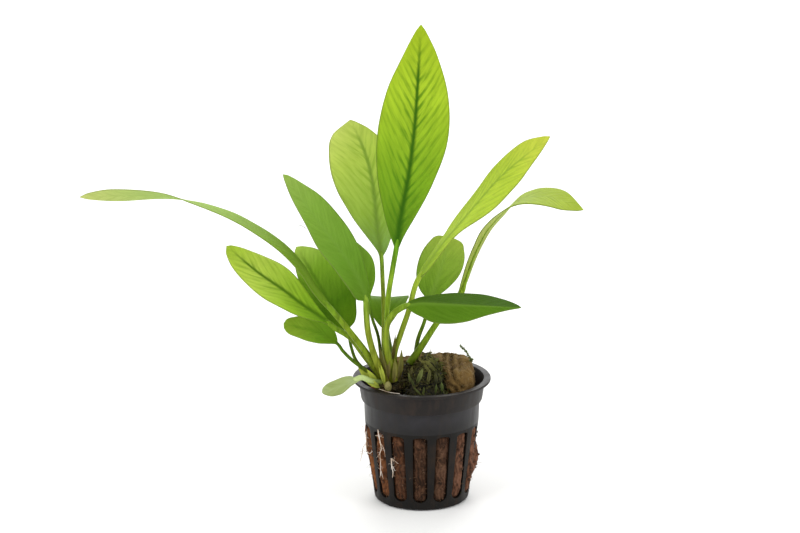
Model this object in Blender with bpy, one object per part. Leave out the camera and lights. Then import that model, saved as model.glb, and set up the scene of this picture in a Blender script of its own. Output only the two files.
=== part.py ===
# A potted water plant: a slotted plastic net pot filled with rock wool, with a creeping
# rhizome, fourteen stalked leaves, moss and loose roots. Metres, +Z up, the front faces -Y.
# The origin is the centre of the pot's underside.

import math

import bmesh
import bpy
from mathutils import Vector

# Driving dimensions, in metres
mm = 0.001
piece_gap = 0.3 * mm

pot_height = 50.0 * mm
flange_radius = 27.4 * mm
flange_thickness = 1.0 * mm
mouth_radius = 24.7 * mm
collar_top_radius = 25.2 * mm
collar_foot_radius = 24.1 * mm
collar_foot_height = 41.0 * mm
band_top_radius = 23.0 * mm
band_foot_radius = 22.7 * mm
band_foot_height = 32.6 * mm
wall_foot_radius = 18.9 * mm
wall_thickness = 1.1 * mm
corner_radius = 1.4 * mm
floor_thickness = 1.4 * mm
pot_segments = 60

slot_count = 15
slot_width = 5.8 * mm
slot_foot = 3.4 * mm
slot_top = 31.5 * mm
slot_turn = math.radians(-2.0)

wool_top = 44.0 * mm
block_foot = wool_top + piece_gap

stalk_clearance = 1.2 * mm
blade_thickness = 0.45 * mm
ring_points = 8
root_radius = 0.35 * mm


def clear_scene():
    for old in list(bpy.data.objects):
        bpy.data.objects.remove(old, do_unlink=True)


def make_material(name, colour, roughness):
    """A Principled material from an sRGB hex colour."""
    linear = []
    for start in (1, 3, 5):
        value = int(colour[start:start + 2], 16) / 255
        linear.append(value / 12.92 if value <= 0.04045 else ((value + 0.055) / 1.055) ** 2.4)
    material = bpy.data.materials.new(name)
    material.use_nodes = True
    shader = material.node_tree.nodes["Principled BSDF"]
    shader.inputs["Base Color"].default_value = (*linear, 1)
    shader.inputs["Roughness"].default_value = roughness
    shader.inputs["Metallic"].default_value = 0
    return material


def add_object(name, bm, colour, roughness, sharp_angle=math.radians(40)):
    """Closes up the bmesh, points its faces out, and makes it one named object."""
    bmesh.ops.recalc_face_normals(bm, faces=bm.faces)
    if bm.calc_volume(signed=True) < 0:
        bmesh.ops.reverse_faces(bm, faces=bm.faces)
    mesh = bpy.data.meshes.new(name)
    bm.to_mesh(mesh)
    bm.free()
    mesh.shade_smooth()
    mesh.set_sharp_from_angle(angle=sharp_angle)
    piece = bpy.data.objects.new(name, mesh)
    bpy.context.scene.collection.objects.link(piece)
    mesh.materials.append(make_material(name, colour, roughness))
    return piece


def cut(piece, cutter):
    """Takes the cutter's shape out of the piece."""
    cutter.hide_render = True
    cutter.display_type = "WIRE"
    boolean = piece.modifiers.new("cut " + cutter.name, "BOOLEAN")
    boolean.operation = "DIFFERENCE"
    boolean.solver = "EXACT"
    boolean.object = cutter


# Smooth routes

def smooth_points(points, steps):
    """Points along a Catmull-Rom curve through the given ones, steps to each span."""
    ends = [points[0] * 2 - points[1], *points, points[-1] * 2 - points[-2]]
    out = []
    for i in range(1, len(ends) - 2):
        before, start, end, after = ends[i - 1:i + 3]
        for step in range(steps):
            t = step / steps
            out.append(0.5 * (2 * start + (end - before) * t
                              + (2 * before - 5 * start + 4 * end - after) * t ** 2
                              + (3 * start - before - 3 * end + after) * t ** 3))
    return out + [points[-1]]


def lengths_along(points):
    total = [0.0]
    for a, b in zip(points, points[1:]):
        total.append(total[-1] + (b - a).length)
    return total


def point_at(points, lengths, distance):
    """The point and the direction at a distance along a polyline."""
    for i in range(1, len(points)):
        if distance <= lengths[i] or i == len(points) - 1:
            span = lengths[i] - lengths[i - 1]
            share = min(1.0, (distance - lengths[i - 1]) / span)
            return points[i - 1].lerp(points[i], share), (points[i] - points[i - 1]).normalized()


def blend_between(values, share):
    """The value at a share of the way through an evenly spaced list."""
    place = share * (len(values) - 1)
    first = min(int(place), len(values) - 2)
    return values[first].lerp(values[first + 1], place - first)


# Turned and lofted shapes

def loft(bm, rings):
    """Skins a list of equal rings of points, then closes both ends."""
    loops = [[bm.verts.new(point) for point in ring] for ring in rings]
    for low, high in zip(loops, loops[1:]):
        for i in range(len(low)):
            j = (i + 1) % len(low)
            bm.faces.new((low[i], low[j], high[j], high[i]))
    bm.faces.new(list(reversed(loops[0])))
    bm.faces.new(loops[-1])


def turned(profile, segments):
    """A solid of revolution about Z from a closed profile of (radius, height) pairs."""
    bm = bmesh.new()
    loops = []
    for radius, height in profile:
        if radius == 0:
            loops.append([bm.verts.new((0, 0, height))])
            continue
        turns = (2 * math.pi * i / segments for i in range(segments))
        loops.append([bm.verts.new((radius * math.sin(a), -radius * math.cos(a), height)) for a in turns])
    for low, high in zip(loops, loops[1:]):
        for i in range(segments):
            j = (i + 1) % segments
            corners = [low[i % len(low)], low[j % len(low)], high[j % len(high)], high[i % len(high)]]
            bm.faces.new(list(dict.fromkeys(corners)))
    return bm


# Net pot

def wall_radius(height):
    """The pot's outer radius on its slotted wall, and on the plain band under the collar."""
    if height <= band_foot_height:
        share = (height - corner_radius) / (band_foot_height - corner_radius)
        return wall_foot_radius + (band_foot_radius - wall_foot_radius) * share
    share = (height - band_foot_height) / (collar_foot_height - band_foot_height)
    return band_foot_radius + (band_top_radius - band_foot_radius) * share


def inner_radius(height):
    """The pot's inner radius, below the collar and in it."""
    if height <= collar_foot_height:
        return wall_radius(height) - wall_thickness
    share = (height - collar_foot_height) / (pot_height - collar_foot_height)
    foot = band_top_radius - wall_thickness
    return foot + (mouth_radius - foot) * share ** 1.3


def pot_profile():
    """From the underside's centre, out and up the wall, over the flange and down inside."""
    low_wall = wall_foot_radius - corner_radius
    corner = [(low_wall + corner_radius * math.sin(a), corner_radius * (1 - math.cos(a)))
              for a in (0, math.radians(45), math.radians(90))]
    flange_low = pot_height - flange_thickness
    outside = [(band_foot_radius, band_foot_height), (band_top_radius, collar_foot_height),
               (collar_foot_radius, collar_foot_height + 0.5 * mm),
               (collar_top_radius, flange_low - 0.4 * mm), (collar_top_radius + 0.8 * mm, flange_low),
               (flange_radius - 0.3 * mm, flange_low - 0.1 * mm), (flange_radius, flange_low + 0.4 * mm),
               (flange_radius - 0.3 * mm, pot_height), (mouth_radius, pot_height)]
    inside = [(inner_radius(z * mm), z * mm) for z in (47.5, 44.5, 41.0, 32.6)]
    floor_edge = inner_radius(floor_thickness + corner_radius)
    inside += [(floor_edge, floor_thickness + corner_radius), (floor_edge - corner_radius, floor_thickness)]
    return [(0, 0)] + corner + outside + inside + [(0, floor_thickness)]


def slot_cutter():
    """All the slots as one hidden ring of upright round-ended bars."""
    bm = bmesh.new()
    half = slot_width / 2
    arc = [math.radians(a) for a in range(0, 181, 36)]
    outline = [(half * math.cos(a), slot_top - half * 0.35 + half * 0.35 * math.sin(a)) for a in arc]
    outline += [(-half * math.cos(a), slot_foot + half - half * math.sin(a)) for a in arc]
    for i in range(slot_count):
        turn = slot_turn + 2 * math.pi * i / slot_count
        out = Vector((math.sin(turn), -math.cos(turn), 0))
        side = Vector((math.cos(turn), math.sin(turn), 0))
        rings = []
        for reach in (14.0 * mm, 26.0 * mm):
            rings.append([out * reach + side * across + Vector((0, 0, height)) for across, height in outline])
        loft(bm, rings)
    return add_object("slot_cutter", bm, "#202020", 0.5)


def build_net_pot():
    pot = add_object("net_pot", turned(pot_profile(), pot_segments), "#38363a", 0.42)
    cut(pot, slot_cutter())


# Rock wool

def build_wool_plug():
    """The wool that fills the pot, a little proud in the slots' middle height."""
    floor = floor_thickness + piece_gap
    edge = floor + corner_radius
    profile = [(0, floor), (inner_radius(edge) - corner_radius - 2 * piece_gap, floor)]
    for z in (edge, 10 * mm, 20 * mm, 32 * mm, wool_top - 1.5 * mm):
        profile.append((inner_radius(z) - piece_gap, z))
    profile += [(inner_radius(wool_top) - 2.2 * mm, wool_top), (0, wool_top)]
    add_object("wool_plug", turned(profile, pot_segments // 2), "#5a4030", 0.95)


def build_wool_block():
    """The torn lump of wool that stands out of the pot at the right and along the back."""
    outline = [(9.8, -15.5), (15.5, -15.5), (19.2, -10), (20.8, -2), (20.2, 6), (15.5, 13),
               (7, 18), (-3, 19.5), (-10, 17), (-10.5, 12.5), (-3, 11.5), (3.5, 7), (6, 0), (8.5, -8)]
    tops = [54.6, 56.0, 55.8, 55.0, 56.4, 56.0, 55.4, 53.8, 52.8, 52.4, 53.4, 55.6, 56.8, 56.0]
    middle = Vector((11.5, 2.0))
    rings = []
    for share, spread in ((0, 0.97), (0.45, 1.03), (0.85, 0.98), (1, 0.86)):
        ring = []
        for (x, y), top in zip(outline, tops):
            near = Vector((x, y)).lerp(middle if x > 0 else Vector((x, 15)), 1 - spread)
            ring.append(Vector((near.x * mm, near.y * mm, block_foot + (top * mm - block_foot) * share)))
        rings.append(ring)
    bm = bmesh.new()
    loft(bm, rings)
    bmesh.ops.triangulate(bm, faces=[face for face in bm.faces if len(face.verts) > 4])
    add_object("wool_block", bm, "#7a6038", 0.95)


# Rhizome

rhizome_route = [(-18.2, -11.4, 48.6, 2.6), (-16.8, -11.2, 48.8, 4.0), (-14.0, -10.6, 48.9, 4.4),
                 (-10.6, -9.2, 48.7, 4.0), (-7.6, -5.4, 48.6, 3.2), (-5.6, -1.2, 49.2, 3.6),
                 (-3.6, 3.4, 50.4, 4.4), (-1.6, 7.4, 50.0, 3.0)]


def rhizome_top(x, y):
    """The height of the rhizome's upper side over a place, in millimetres."""
    best = 0.0
    for (ax, ay, az, ar), (bx, by, bz, br) in zip(rhizome_route, rhizome_route[1:]):
        for step in range(5):
            t = step / 4
            cx, cy, cz, radius = (ax + (bx - ax) * t, ay + (by - ay) * t,
                                  az + (bz - az) * t, ar + (br - ar) * t)
            inside = radius ** 2 - (x - cx) ** 2 - (y - cy) ** 2
            if inside > 0:
                best = max(best, cz + math.sqrt(inside))
    return best


def build_rhizome():
    """A creeping stem from the front shoot to the back one, swollen at its joints."""
    bm = bmesh.new()
    rings = []
    sides = 10
    centres = [Vector(entry[:3]) * mm for entry in rhizome_route]
    for i, entry in enumerate(rhizome_route):
        along = (centres[min(i + 1, len(centres) - 1)] - centres[max(i - 1, 0)]).normalized()
        side = along.cross(Vector((0, 0, 1))).normalized()
        up = side.cross(along)
        ring = []
        for k in range(sides):
            a = 2 * math.pi * k / sides
            ring.append(centres[i] + (side * math.cos(a) + up * math.sin(a)) * entry[3] * mm)
        rings.append(ring)
    loft(bm, rings)
    add_object("rhizome", bm, "#8a7a48", 0.7)


# Leaves

# Where along a blade its half widths are stated, as shares from its base to its tip
width_stations = (0, 0.04, 0.14, 0.3, 0.5, 0.7, 0.87, 0.97, 1)

leaf_shapes = {
    # route: stalk foot (x, y), then points to the blade's tip, all in mm
    # stalk: its radius; blade: which route point the blade starts at
    # right, left: half widths in mm at the stations, seen on the upper side with the tip up
    # faces: where its upper side looks, from the blade's base to its tip
    # fold: how far its two halves rise from the midrib, as a slope
    "leaf_tall": {
        "foot": (-13.3, -11.0), "stalk": 1.05, "blade": 4, "fold": 0.06,
        "route": [(-14, -11.3, 66.5), (-13.4, -11, 84.5), (-11.6, -10, 96.7), (-10, -9.5, 106),
                  (-8.5, -9, 117), (-5.2, -9.5, 135.5), (-3, -11, 154.5), (-1.8, -12, 172.5),
                  (-0.6, -10.5, 194.5)],
        "right": (2.1, 5.4, 9.7, 13.3, 12.0, 6.9, 2.1), "left": (2.8, 6.8, 12.0, 14.1, 11.8, 6.0, 1.9),
        "faces": [(0.1, -1, 0.1), (0, -1, 0.1), (-0.1, -1, 0.2)], "colour": "#8fba2c"},
    "leaf_tall_rear": {
        "foot": (-13.4, -8.4), "stalk": 0.85, "blade": 4, "fold": 0.1,
        "route": [(-15, -8, 65.5), (-15, -6, 77), (-15.5, -3, 90.5), (-16, -1, 100), (-17.5, 1, 110),
                  (-19, 3, 125.5), (-22, 3.5, 139.5), (-28, 0.5, 154.5)],
        "right": (2.6, 5.7, 9.3, 11.0, 9.3, 5.4, 1.6), "left": (1.5, 4.5, 10.0, 14.3, 15.2, 13.1, 8.4),
        "faces": [(0.1, -1, 0.2), (0.1, -1, 0.3), (0.1, -1, 0.5)], "colour": "#a6cc4e"},
    "leaf_left_broad": {
        "foot": (-13.9, -13.6), "stalk": 1.15, "blade": 4, "fold": 0.1,
        "route": [(-18.2, -15.5, 62), (-21, -17, 72.7), (-21.8, -18, 82), (-22, -18.5, 87),
                  (-24, -19.5, 94.2), (-30.4, -21, 105.5), (-36.8, -22, 114.7), (-43, -23, 123.6),
                  (-53.5, -24, 138.7)],
        "right": (2.8, 4.7, 7.9, 10.1, 9.2, 5.3, 2.0), "left": (5.0, 7.0, 8.3, 8.9, 6.1, 3.8, 1.2),
        "faces": [(0.75, -0.65, 0.15), (0.7, -0.6, 0.35), (0.65, -0.55, 0.55)], "colour": "#6a9c38"},
    "leaf_far_left": {
        "foot": (-15.9, -11.4), "stalk": 1.15, "blade": 3, "fold": 0.04,
        "route": [(-22, -15, 64.5), (-30, -19, 76.5), (-36.3, -22, 85.3), (-41.9, -23.5, 93),
                  (-46.9, -24, 101.6), (-54.3, -22, 109.2), (-65.3, -18, 115.8), (-78.5, -13, 121.1),
                  (-98.5, -5, 124.9), (-120, -1, 124.4), (-134, 0, 123.5)],
        "right": (1.8, 2.4, 3.9, 7.4, 5.3, 4.7, 1.7), "left": (1.8, 2.5, 4.6, 7.8, 5.8, 5.1, 2.1),
        "faces": [(0.7, -0.59, 0.41), (0.46, -0.33, 0.83), (0.45, 0.01, 0.89), (0.22, 0.2, 0.95),
                  (0.05, 0.55, 0.83), (-0.01, 0.82, 0.57)],
        "colour": "#8fb84a"},
    "leaf_left_low": {
        "foot": (-15.9, -8.8), "stalk": 1.1, "blade": 4, "fold": 0.12,
        "route": [(-22.5, -11.5, 62), (-28, -12, 69.5), (-34, -12, 73.5), (-36.5, -12, 75.7),
                  (-39.2, -12, 77.7), (-47, -11.5, 83), (-54.5, -11, 88.9), (-65, -10.5, 96.4),
                  (-76.3, -10, 106.4)],
        "right": (1.6, 3.8, 7.5, 10.2, 9.1, 5.5, 2.1), "left": (1.6, 4.7, 8.4, 10.5, 9.5, 7.0, 3.2),
        "faces": [(0.3, -0.45, 0.85), (0.5, -0.5, 0.7), (0.5, -0.5, 0.7)], "colour": "#9cc43c"},
    "leaf_left_inner": {
        "foot": (-18.4, -9.0), "stalk": 0.6, "blade": 3, "fold": 0.1,
        "route": [(-25.4, -6, 57.5), (-28, -2.5, 63), (-29.5, -0.5, 69.5), (-34.5, 0.5, 77.5),
                  (-40, 1, 86.4), (-49.4, 1.5, 103)],
        "right": (4.5, 7.8, 10.7, 11.0, 9.9, 6.6, 2.3), "left": (3.3, 4.6, 6.0, 6.6, 6.2, 4.2, 1.6),
        "faces": [(0.2, -0.9, 0.2), (0.2, -0.9, 0.3), (0.3, -0.8, 0.5)], "colour": "#5f8f28"},
    "leaf_left_under": {
        "foot": (-18.3, -11.6), "stalk": 0.65, "blade": 4, "fold": 0.1,
        "route": [(-22, -12.8, 56.5), (-27, -12, 60), (-31, -10.5, 63.6), (-33.6, -9.5, 66.7),
                  (-40.4, -8.5, 70.7), (-48.2, -7.5, 72.4), (-54.5, -6.5, 73.8)],
        "right": (1.8, 3.6, 4.7, 5.2, 5.1, 3.7, 2.1), "left": (1.2, 2.8, 4.7, 5.1, 4.3, 3.6, 1.8),
        "faces": [(0.2, -0.75, 0.6), (0.1, -0.75, 0.65), (0, -0.75, 0.65)], "colour": "#648f2a"},
    "leaf_small_drooping": {
        "foot": (-16.4, -13.9), "stalk": 1.1, "blade": 3, "fold": 0.1,
        "route": [(-20, -17.5, 53.6), (-23.5, -19.3, 55.6), (-26.1, -20, 54.9), (-31, -21, 53),
                  (-35.2, -21.5, 51.2), (-39.2, -21.5, 50.2)],
        "right": (2.6, 3.4, 3.9, 4.1, 4.3, 3.5, 1.9), "left": (1.9, 2.5, 3.5, 4.5, 4.0, 2.2, 0.9),
        "faces": [(-0.1, -0.35, 0.9), (-0.2, -0.4, 0.85), (-0.3, -0.4, 0.8)], "colour": "#9ab86a"},
    "leaf_behind": {
        "foot": (-15.4, -5.4), "stalk": 0.6, "blade": 3, "fold": 0.1,
        "route": [(-17, -6, 67), (-19.2, -7.5, 75), (-20.8, -9.5, 81.7), (-22.8, -10.5, 91.7),
                  (-27.5, -11, 102.6), (-34.7, -10.5, 114)],
        "right": (1.0, 1.6, 4.9, 6.8, 4.8, 2.4, 0.9), "left": (1.0, 2.2, 5.0, 6.4, 5.6, 3.2, 1.2),
        "faces": [(0.1, -0.95, 0.2), (0.1, -0.95, 0.3), (0.1, -0.9, 0.4)], "colour": "#65912c"},
    "leaf_centre_rear": {
        "foot": (-10.8, -8.2), "stalk": 1, "blade": 2, "fold": 0.1,
        "route": [(-12.6, -5.5, 62.5), (-14, -3, 70.5), (-14.3, 1, 76.6), (-13.5, 6, 79.7), (-13.5, 11, 79.4),
                  (-13, 20, 75), (-12.5, 29, 68)],
        "right": (1.7, 4.4, 7.4, 8.3, 6.8, 4.2, 1.7), "left": (2.6, 5.2, 7.3, 7.8, 6.5, 4.1, 1.7),
        "faces": [(0, -0.8, 0.6), (0, -0.2, 1), (0, 0.5, 0.85)], "colour": "#6c8c30"},
    "leaf_right_low": {
        "foot": (-11.3, -13.4), "stalk": 1.2, "blade": 5, "fold": -0.26,
        "route": [(-14, -15.3, 67.5), (-13.8, -16, 75.5), (-11.7, -17, 80.4), (-9.1, -18, 83),
                  (-6, -19, 84.9), (-3, -19.3, 85.8), (1, -20, 86.3), (11, -21, 86), (22.5, -21, 85.3),
                  (32, -20, 84.5), (38.5, -19, 84)],
        "right": (4.1, 6.6, 9.4, 9.0, 5.2, 2.1, 0.6), "left": (1.9, 4.2, 8.2, 11.1, 10.2, 6.3, 2.3),
        "faces": [(-0.1, -0.5, 0.85), (0.05, -0.32, 0.95), (0.1, -0.22, 0.97)], "colour": "#4f8020"},
    "leaf_round": {
        "foot": (-2.6, 4.8), "stalk": 0.7, "blade": 3, "fold": 0.08,
        "route": [(-1.6, 6.5, 63), (1, 7.5, 70.3), (3, 8, 77.9), (6, 9, 87), (8.9, 10, 96),
                  (11.2, 11.5, 104.4)],
        "right": (1.0, 2.5, 5.3, 7.7, 8.1, 6.7, 4.6), "left": (1.2, 5.2, 8.2, 9.4, 9.1, 7.3, 4.8),
        "faces": [(0, -0.95, 0.2), (0, -0.95, 0.3), (0, -0.9, 0.4)], "colour": "#6f9a3a"},
    "leaf_right_high": {
        "foot": (-10.7, -10.8), "stalk": 1.05, "blade": 5, "fold": -0.1,
        "route": [(-11, -10.1, 62), (-8.6, -10, 70), (-5.3, -10, 80), (-2.9, -9.5, 89.4), (-0.9, -9, 93.9),
                  (1.6, -8.5, 97.5), (7.7, -7.5, 106.2), (16, -6, 115.9), (23.8, -5, 125.1),
                  (32.5, -4, 134.5), (49.7, -2, 148.4)],
        "right": (2.8, 4.0, 5.6, 11.7, 11.8, 6.0, 1.7), "left": (2.8, 4.2, 10.4, 10.1, 10.2, 9.0, 3.0),
        "faces": [(-0.84, -0.34, 0.43), (-0.69, -0.1, 0.71), (-0.72, -0.24, 0.65), (-0.62, -0.36, 0.7),
                  (-0.6, -0.4, 0.69)],
        "colour": "#a8cc40"},
    "leaf_far_right": {
        "foot": (-4.8, 2.2), "stalk": 1.15, "blade": 3, "fold": 0.04,
        "route": [(0.4, 4, 62), (6.7, 7, 71), (14.5, 9.7, 80.3), (17, 11, 86.2), (19.5, 12, 93.5),
                  (22.4, 12, 100.5), (26.8, 11, 108.6), (36, 9, 118.4), (43.5, 8, 121.4), (51, 7, 121.5),
                  (57, 6, 119.8), (63.5, 5, 117)],
        "right": (1.6, 2.4, 3.4, 6.4, 6.6, 6.8, 2.4), "left": (1.6, 2.5, 3.5, 6.4, 6.5, 6.9, 1.8),
        "faces": [(-0.7, 0.69, 0.18), (-0.72, 0.56, 0.4), (-0.65, 0.36, 0.67), (0.01, -0.24, 0.97),
                  (0.28, -0.41, 0.87)],
        "colour": "#9cc050"},
}


def width_at(t, stalk, widths):
    """The half width in metres at a share of the blade's length, on a smooth curve through its stations."""
    values = [stalk, *widths, 0.0]
    last = len(width_stations) - 1
    first = max(i for i in range(last) if width_stations[i] <= t)
    slopes = []
    for i in (first, first + 1):
        before, after = max(i - 1, 0), min(i + 1, last)
        slopes.append((values[after] - values[before]) / (width_stations[after] - width_stations[before]))
    span = width_stations[first + 1] - width_stations[first]
    u = (t - width_stations[first]) / span
    start, end = values[first], values[first + 1]
    smooth = start + (end - start) * (3 * u ** 2 - 2 * u ** 3)
    return (smooth + span * (slopes[0] * u * (1 - u) ** 2 - slopes[1] * u ** 2 * (1 - u))) * mm


def foot_height(x, y):
    """Where a stalk's foot stands clear of the rhizome, in millimetres."""
    reach = stalk_clearance / mm
    turns = [math.pi * k / 4 for k in range(8)]
    around = [rhizome_top(x + reach * math.cos(a), y + reach * math.sin(a)) for a in turns]
    return max(around + [rhizome_top(x, y)]) + piece_gap / mm + 0.1


def leaf_rings(shape):
    """The cross-sections of one leaf, round on the stalk and a thin folded lens on the blade."""
    foot = Vector((*shape["foot"], foot_height(*shape["foot"])))
    through = [point * mm for point in [foot] + [Vector(point) for point in shape["route"]]]
    steps = 6
    curve = smooth_points(through, steps)
    lengths = lengths_along(curve)
    blade_start = lengths[shape["blade"] * steps]
    total = lengths[-1]
    faces = [Vector(face).normalized() for face in shape["faces"]]
    stalk_rings = max(4, round(blade_start / (7 * mm)))
    places = [blade_start * i / stalk_rings for i in range(stalk_rings)]
    shares = (0, 0.04, 0.1, 0.18, 0.28, 0.38, 0.48, 0.58, 0.68, 0.78, 0.87, 0.94, 0.985)
    places += [blade_start + (total - blade_start) * share for share in shares]
    rings = []
    for place in places:
        centre, along = point_at(curve, lengths, place)
        t = (place - blade_start) / (total - blade_start)
        face = blend_between(faces, max(0.0, t))
        face = (face - along * face.dot(along)).normalized()
        side = along.cross(face).normalized()
        widen = max(0.0, 1 - place / (9 * mm)) * 0.15
        half_right = half_left = half_height = shape["stalk"] * mm * (1 + widen)
        lift = 0.0
        if t > 0:
            half_right = width_at(t, shape["stalk"], shape["right"])
            half_left = width_at(t, shape["stalk"], shape["left"])
            half_height = blade_thickness * (0.6 + 1.2 * max(0, 1 - t * 4)) * (1 - 0.4 * t)
            half_height = min(half_height, shape["stalk"] * mm)
            lift = shape["fold"] * min(1.0, t * 5) * (1 - t ** 2)
        ring = []
        for k in range(ring_points):
            a = 2 * math.pi * k / ring_points
            across = (half_right if math.cos(a) > 0 else half_left) * math.cos(a)
            height = half_height * math.sin(a) + lift * abs(across)
            ring.append(centre + side * across + face * height)
        rings.append(ring)
    return rings, curve[-1]


def build_leaf(name, shape):
    rings, tip = leaf_rings(shape)
    bm = bmesh.new()
    loft(bm, rings)
    end = max(bm.faces, key=lambda face: -(face.calc_center_median() - tip).length)
    bmesh.ops.poke(bm, faces=[end])
    middles = [vert for vert in bm.verts if len(vert.link_edges) == ring_points]
    last = min(middles, key=lambda vert: (vert.co - tip).length)
    last.co = tip
    add_object(name, bm, shape["colour"], 0.45, math.radians(80))


# Moss

def build_moss_clump():
    """The bank of moss between the rhizome and the wool block, sloping down to the front."""
    outline = [(-5.0, -16.5), (-1.0, -19.4), (4.0, -20.0), (8.8, -18.0), (9.2, -14.5), (8.2, -11.0),
               (7.6, -7.5), (5.2, -0.5), (2.6, 5.0), (1.4, 3.8), (-0.8, -1.2), (-3.6, -5.6), (-5.6, -9.8),
               (-6.2, -13.2)]
    tops = [49.0, 48.0, 47.6, 48.6, 51.4, 54.0, 56.4, 58.2, 58.4, 57.6, 56.4, 54.2, 52.0, 50.4]
    crest = Vector((1.6, -8.0, 56.4))
    bm = bmesh.new()
    rings = []
    for share, spread in ((0, 1.0), (0.5, 1.0), (1, 0.93)):
        ring = []
        for (x, y), top in zip(outline, tops):
            near = Vector((x, y)).lerp(crest.xy, 1 - spread)
            ring.append(Vector((near.x * mm, near.y * mm, block_foot + (top * mm - block_foot) * share)))
        rings.append(ring)
    loft(bm, rings)
    cap = max(bm.faces, key=lambda face: face.calc_center_median().z if len(face.verts) > 4 else 0)
    bmesh.ops.poke(bm, faces=[cap])
    top = max(bm.verts, key=lambda vert: len(vert.link_edges))
    top.co = crest * mm
    bmesh.ops.triangulate(bm, faces=[face for face in bm.faces if len(face.verts) > 4])
    add_object("moss_clump", bm, "#2f3a18", 0.9)


def add_tube(name, points, radius, colour, sides_level=1):
    """A round tube along a smooth route of points in millimetres."""
    route = smooth_points([Vector(point) * mm for point in points], 4)
    curve = bpy.data.curves.new(name, "CURVE")
    curve.dimensions = "3D"
    curve.bevel_depth = radius
    curve.bevel_resolution = sides_level
    curve.use_fill_caps = True
    spline = curve.splines.new("POLY")
    spline.points.add(len(route) - 1)
    for spot, point in zip(spline.points, route):
        spot.co = (*point, 1)
    piece = bpy.data.objects.new(name, curve)
    bpy.context.scene.collection.objects.link(piece)
    curve.materials.append(make_material(name, colour, 0.6))
    return piece


def build_moss_sprig():
    """The strand of moss that stands up from the block's right shoulder."""
    add_tube("moss_sprig", [(15.4, 1.0, 62.6), (17.0, 1.0, 60.9), (18.2, 0.9, 59.0), (19.1, 0.8, 57.6),
                            (20.0, 0.6, 56.3)], 0.5 * mm, "#4a4a22")


# Roots

def on_wall(turn, height, off):
    """A place off the pot's outer wall, by its turn from the front in degrees, in millimetres."""
    radius = wall_radius(height * mm) / mm + off
    a = math.radians(turn)
    return radius * math.sin(a), -radius * math.cos(a), height


def build_roots():
    """White roots that hang out of the left slots and lie close to the ribs."""
    off = (piece_gap + root_radius) / mm + 0.2
    colour = "#c8b09a"
    add_tube("root_main", [on_wall(-47.5, 33, off), on_wall(-46, 30.5, off + 0.3),
                           on_wall(-44, 25.5, off + 0.4), on_wall(-47.5, 23, off + 0.1),
                           on_wall(-48.5, 18.5, off), on_wall(-49.5, 13, off + 0.2)], root_radius, colour)
    add_tube("root_side", [on_wall(-74, 29, off), on_wall(-73, 25.3, off + 0.4), on_wall(-75, 21, off + 0.6),
                           on_wall(-69, 20.4, off + 0.2), on_wall(-61.5, 22.1, off + 0.1)],
             root_radius, colour)
    add_tube("root_hanging", [on_wall(-84, 22.5, off), on_wall(-88, 20.8, off + 1.2),
                              on_wall(-90, 18.2, off + 1.9), on_wall(-90, 15.7, off + 2.7),
                              on_wall(-90, 13.9, off + 3.5)], root_radius * 0.7, colour)
    add_tube("root_front", [on_wall(-33, 22, off), on_wall(-32.5, 18.3, off + 0.3), on_wall(-32, 16, off),
                            on_wall(-33, 13.8, off + 0.2)], root_radius, colour)


def main():
    clear_scene()
    build_net_pot()
    build_wool_plug()
    build_wool_block()
    build_rhizome()
    build_moss_clump()
    build_moss_sprig()
    build_roots()
    for name, shape in leaf_shapes.items():
        build_leaf(name, shape)


main()
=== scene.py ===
# A potted water plant, dressed over its CAD frame. Metres, +Z up, the front faces -Y.

import functools
import math

import bmesh
import bpy
import numpy as np
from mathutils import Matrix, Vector, noise


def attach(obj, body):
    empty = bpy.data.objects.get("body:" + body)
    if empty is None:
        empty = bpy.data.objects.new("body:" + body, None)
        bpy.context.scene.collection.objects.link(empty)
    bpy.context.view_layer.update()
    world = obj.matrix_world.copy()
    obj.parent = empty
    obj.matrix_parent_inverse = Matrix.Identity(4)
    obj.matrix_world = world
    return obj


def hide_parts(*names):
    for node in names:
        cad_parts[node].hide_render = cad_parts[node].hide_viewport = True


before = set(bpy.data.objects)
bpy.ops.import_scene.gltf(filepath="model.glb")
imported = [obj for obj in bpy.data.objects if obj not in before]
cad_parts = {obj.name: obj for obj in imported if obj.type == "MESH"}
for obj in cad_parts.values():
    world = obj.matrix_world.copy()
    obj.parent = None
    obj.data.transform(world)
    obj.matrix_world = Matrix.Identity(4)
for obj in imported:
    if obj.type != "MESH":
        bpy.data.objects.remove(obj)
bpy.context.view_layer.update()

mm = 0.001


def toLinear(hexColour):
    channels = []
    for start in (1, 3, 5):
        value = int(hexColour[start:start + 2], 16) / 255
        channels.append(value / 12.92 if value <= 0.04045 else ((value + 0.055) / 1.055) ** 2.4)
    return (*channels, 1)


def newMaterial(name):
    material = bpy.data.materials.new(name)
    material.use_nodes = True
    material.node_tree.nodes.clear()
    return material, functools.partial(addNode, material.node_tree)


# what a word after a node's kind sets, as in "Math ADD"
modes = {"Math": "operation", "VectorMath": "operation", "Mix": "blend_type",
    "MapRange": "interpolation_type"}
ends = ("From Min", "From Max", "To Min", "To Max")


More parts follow.
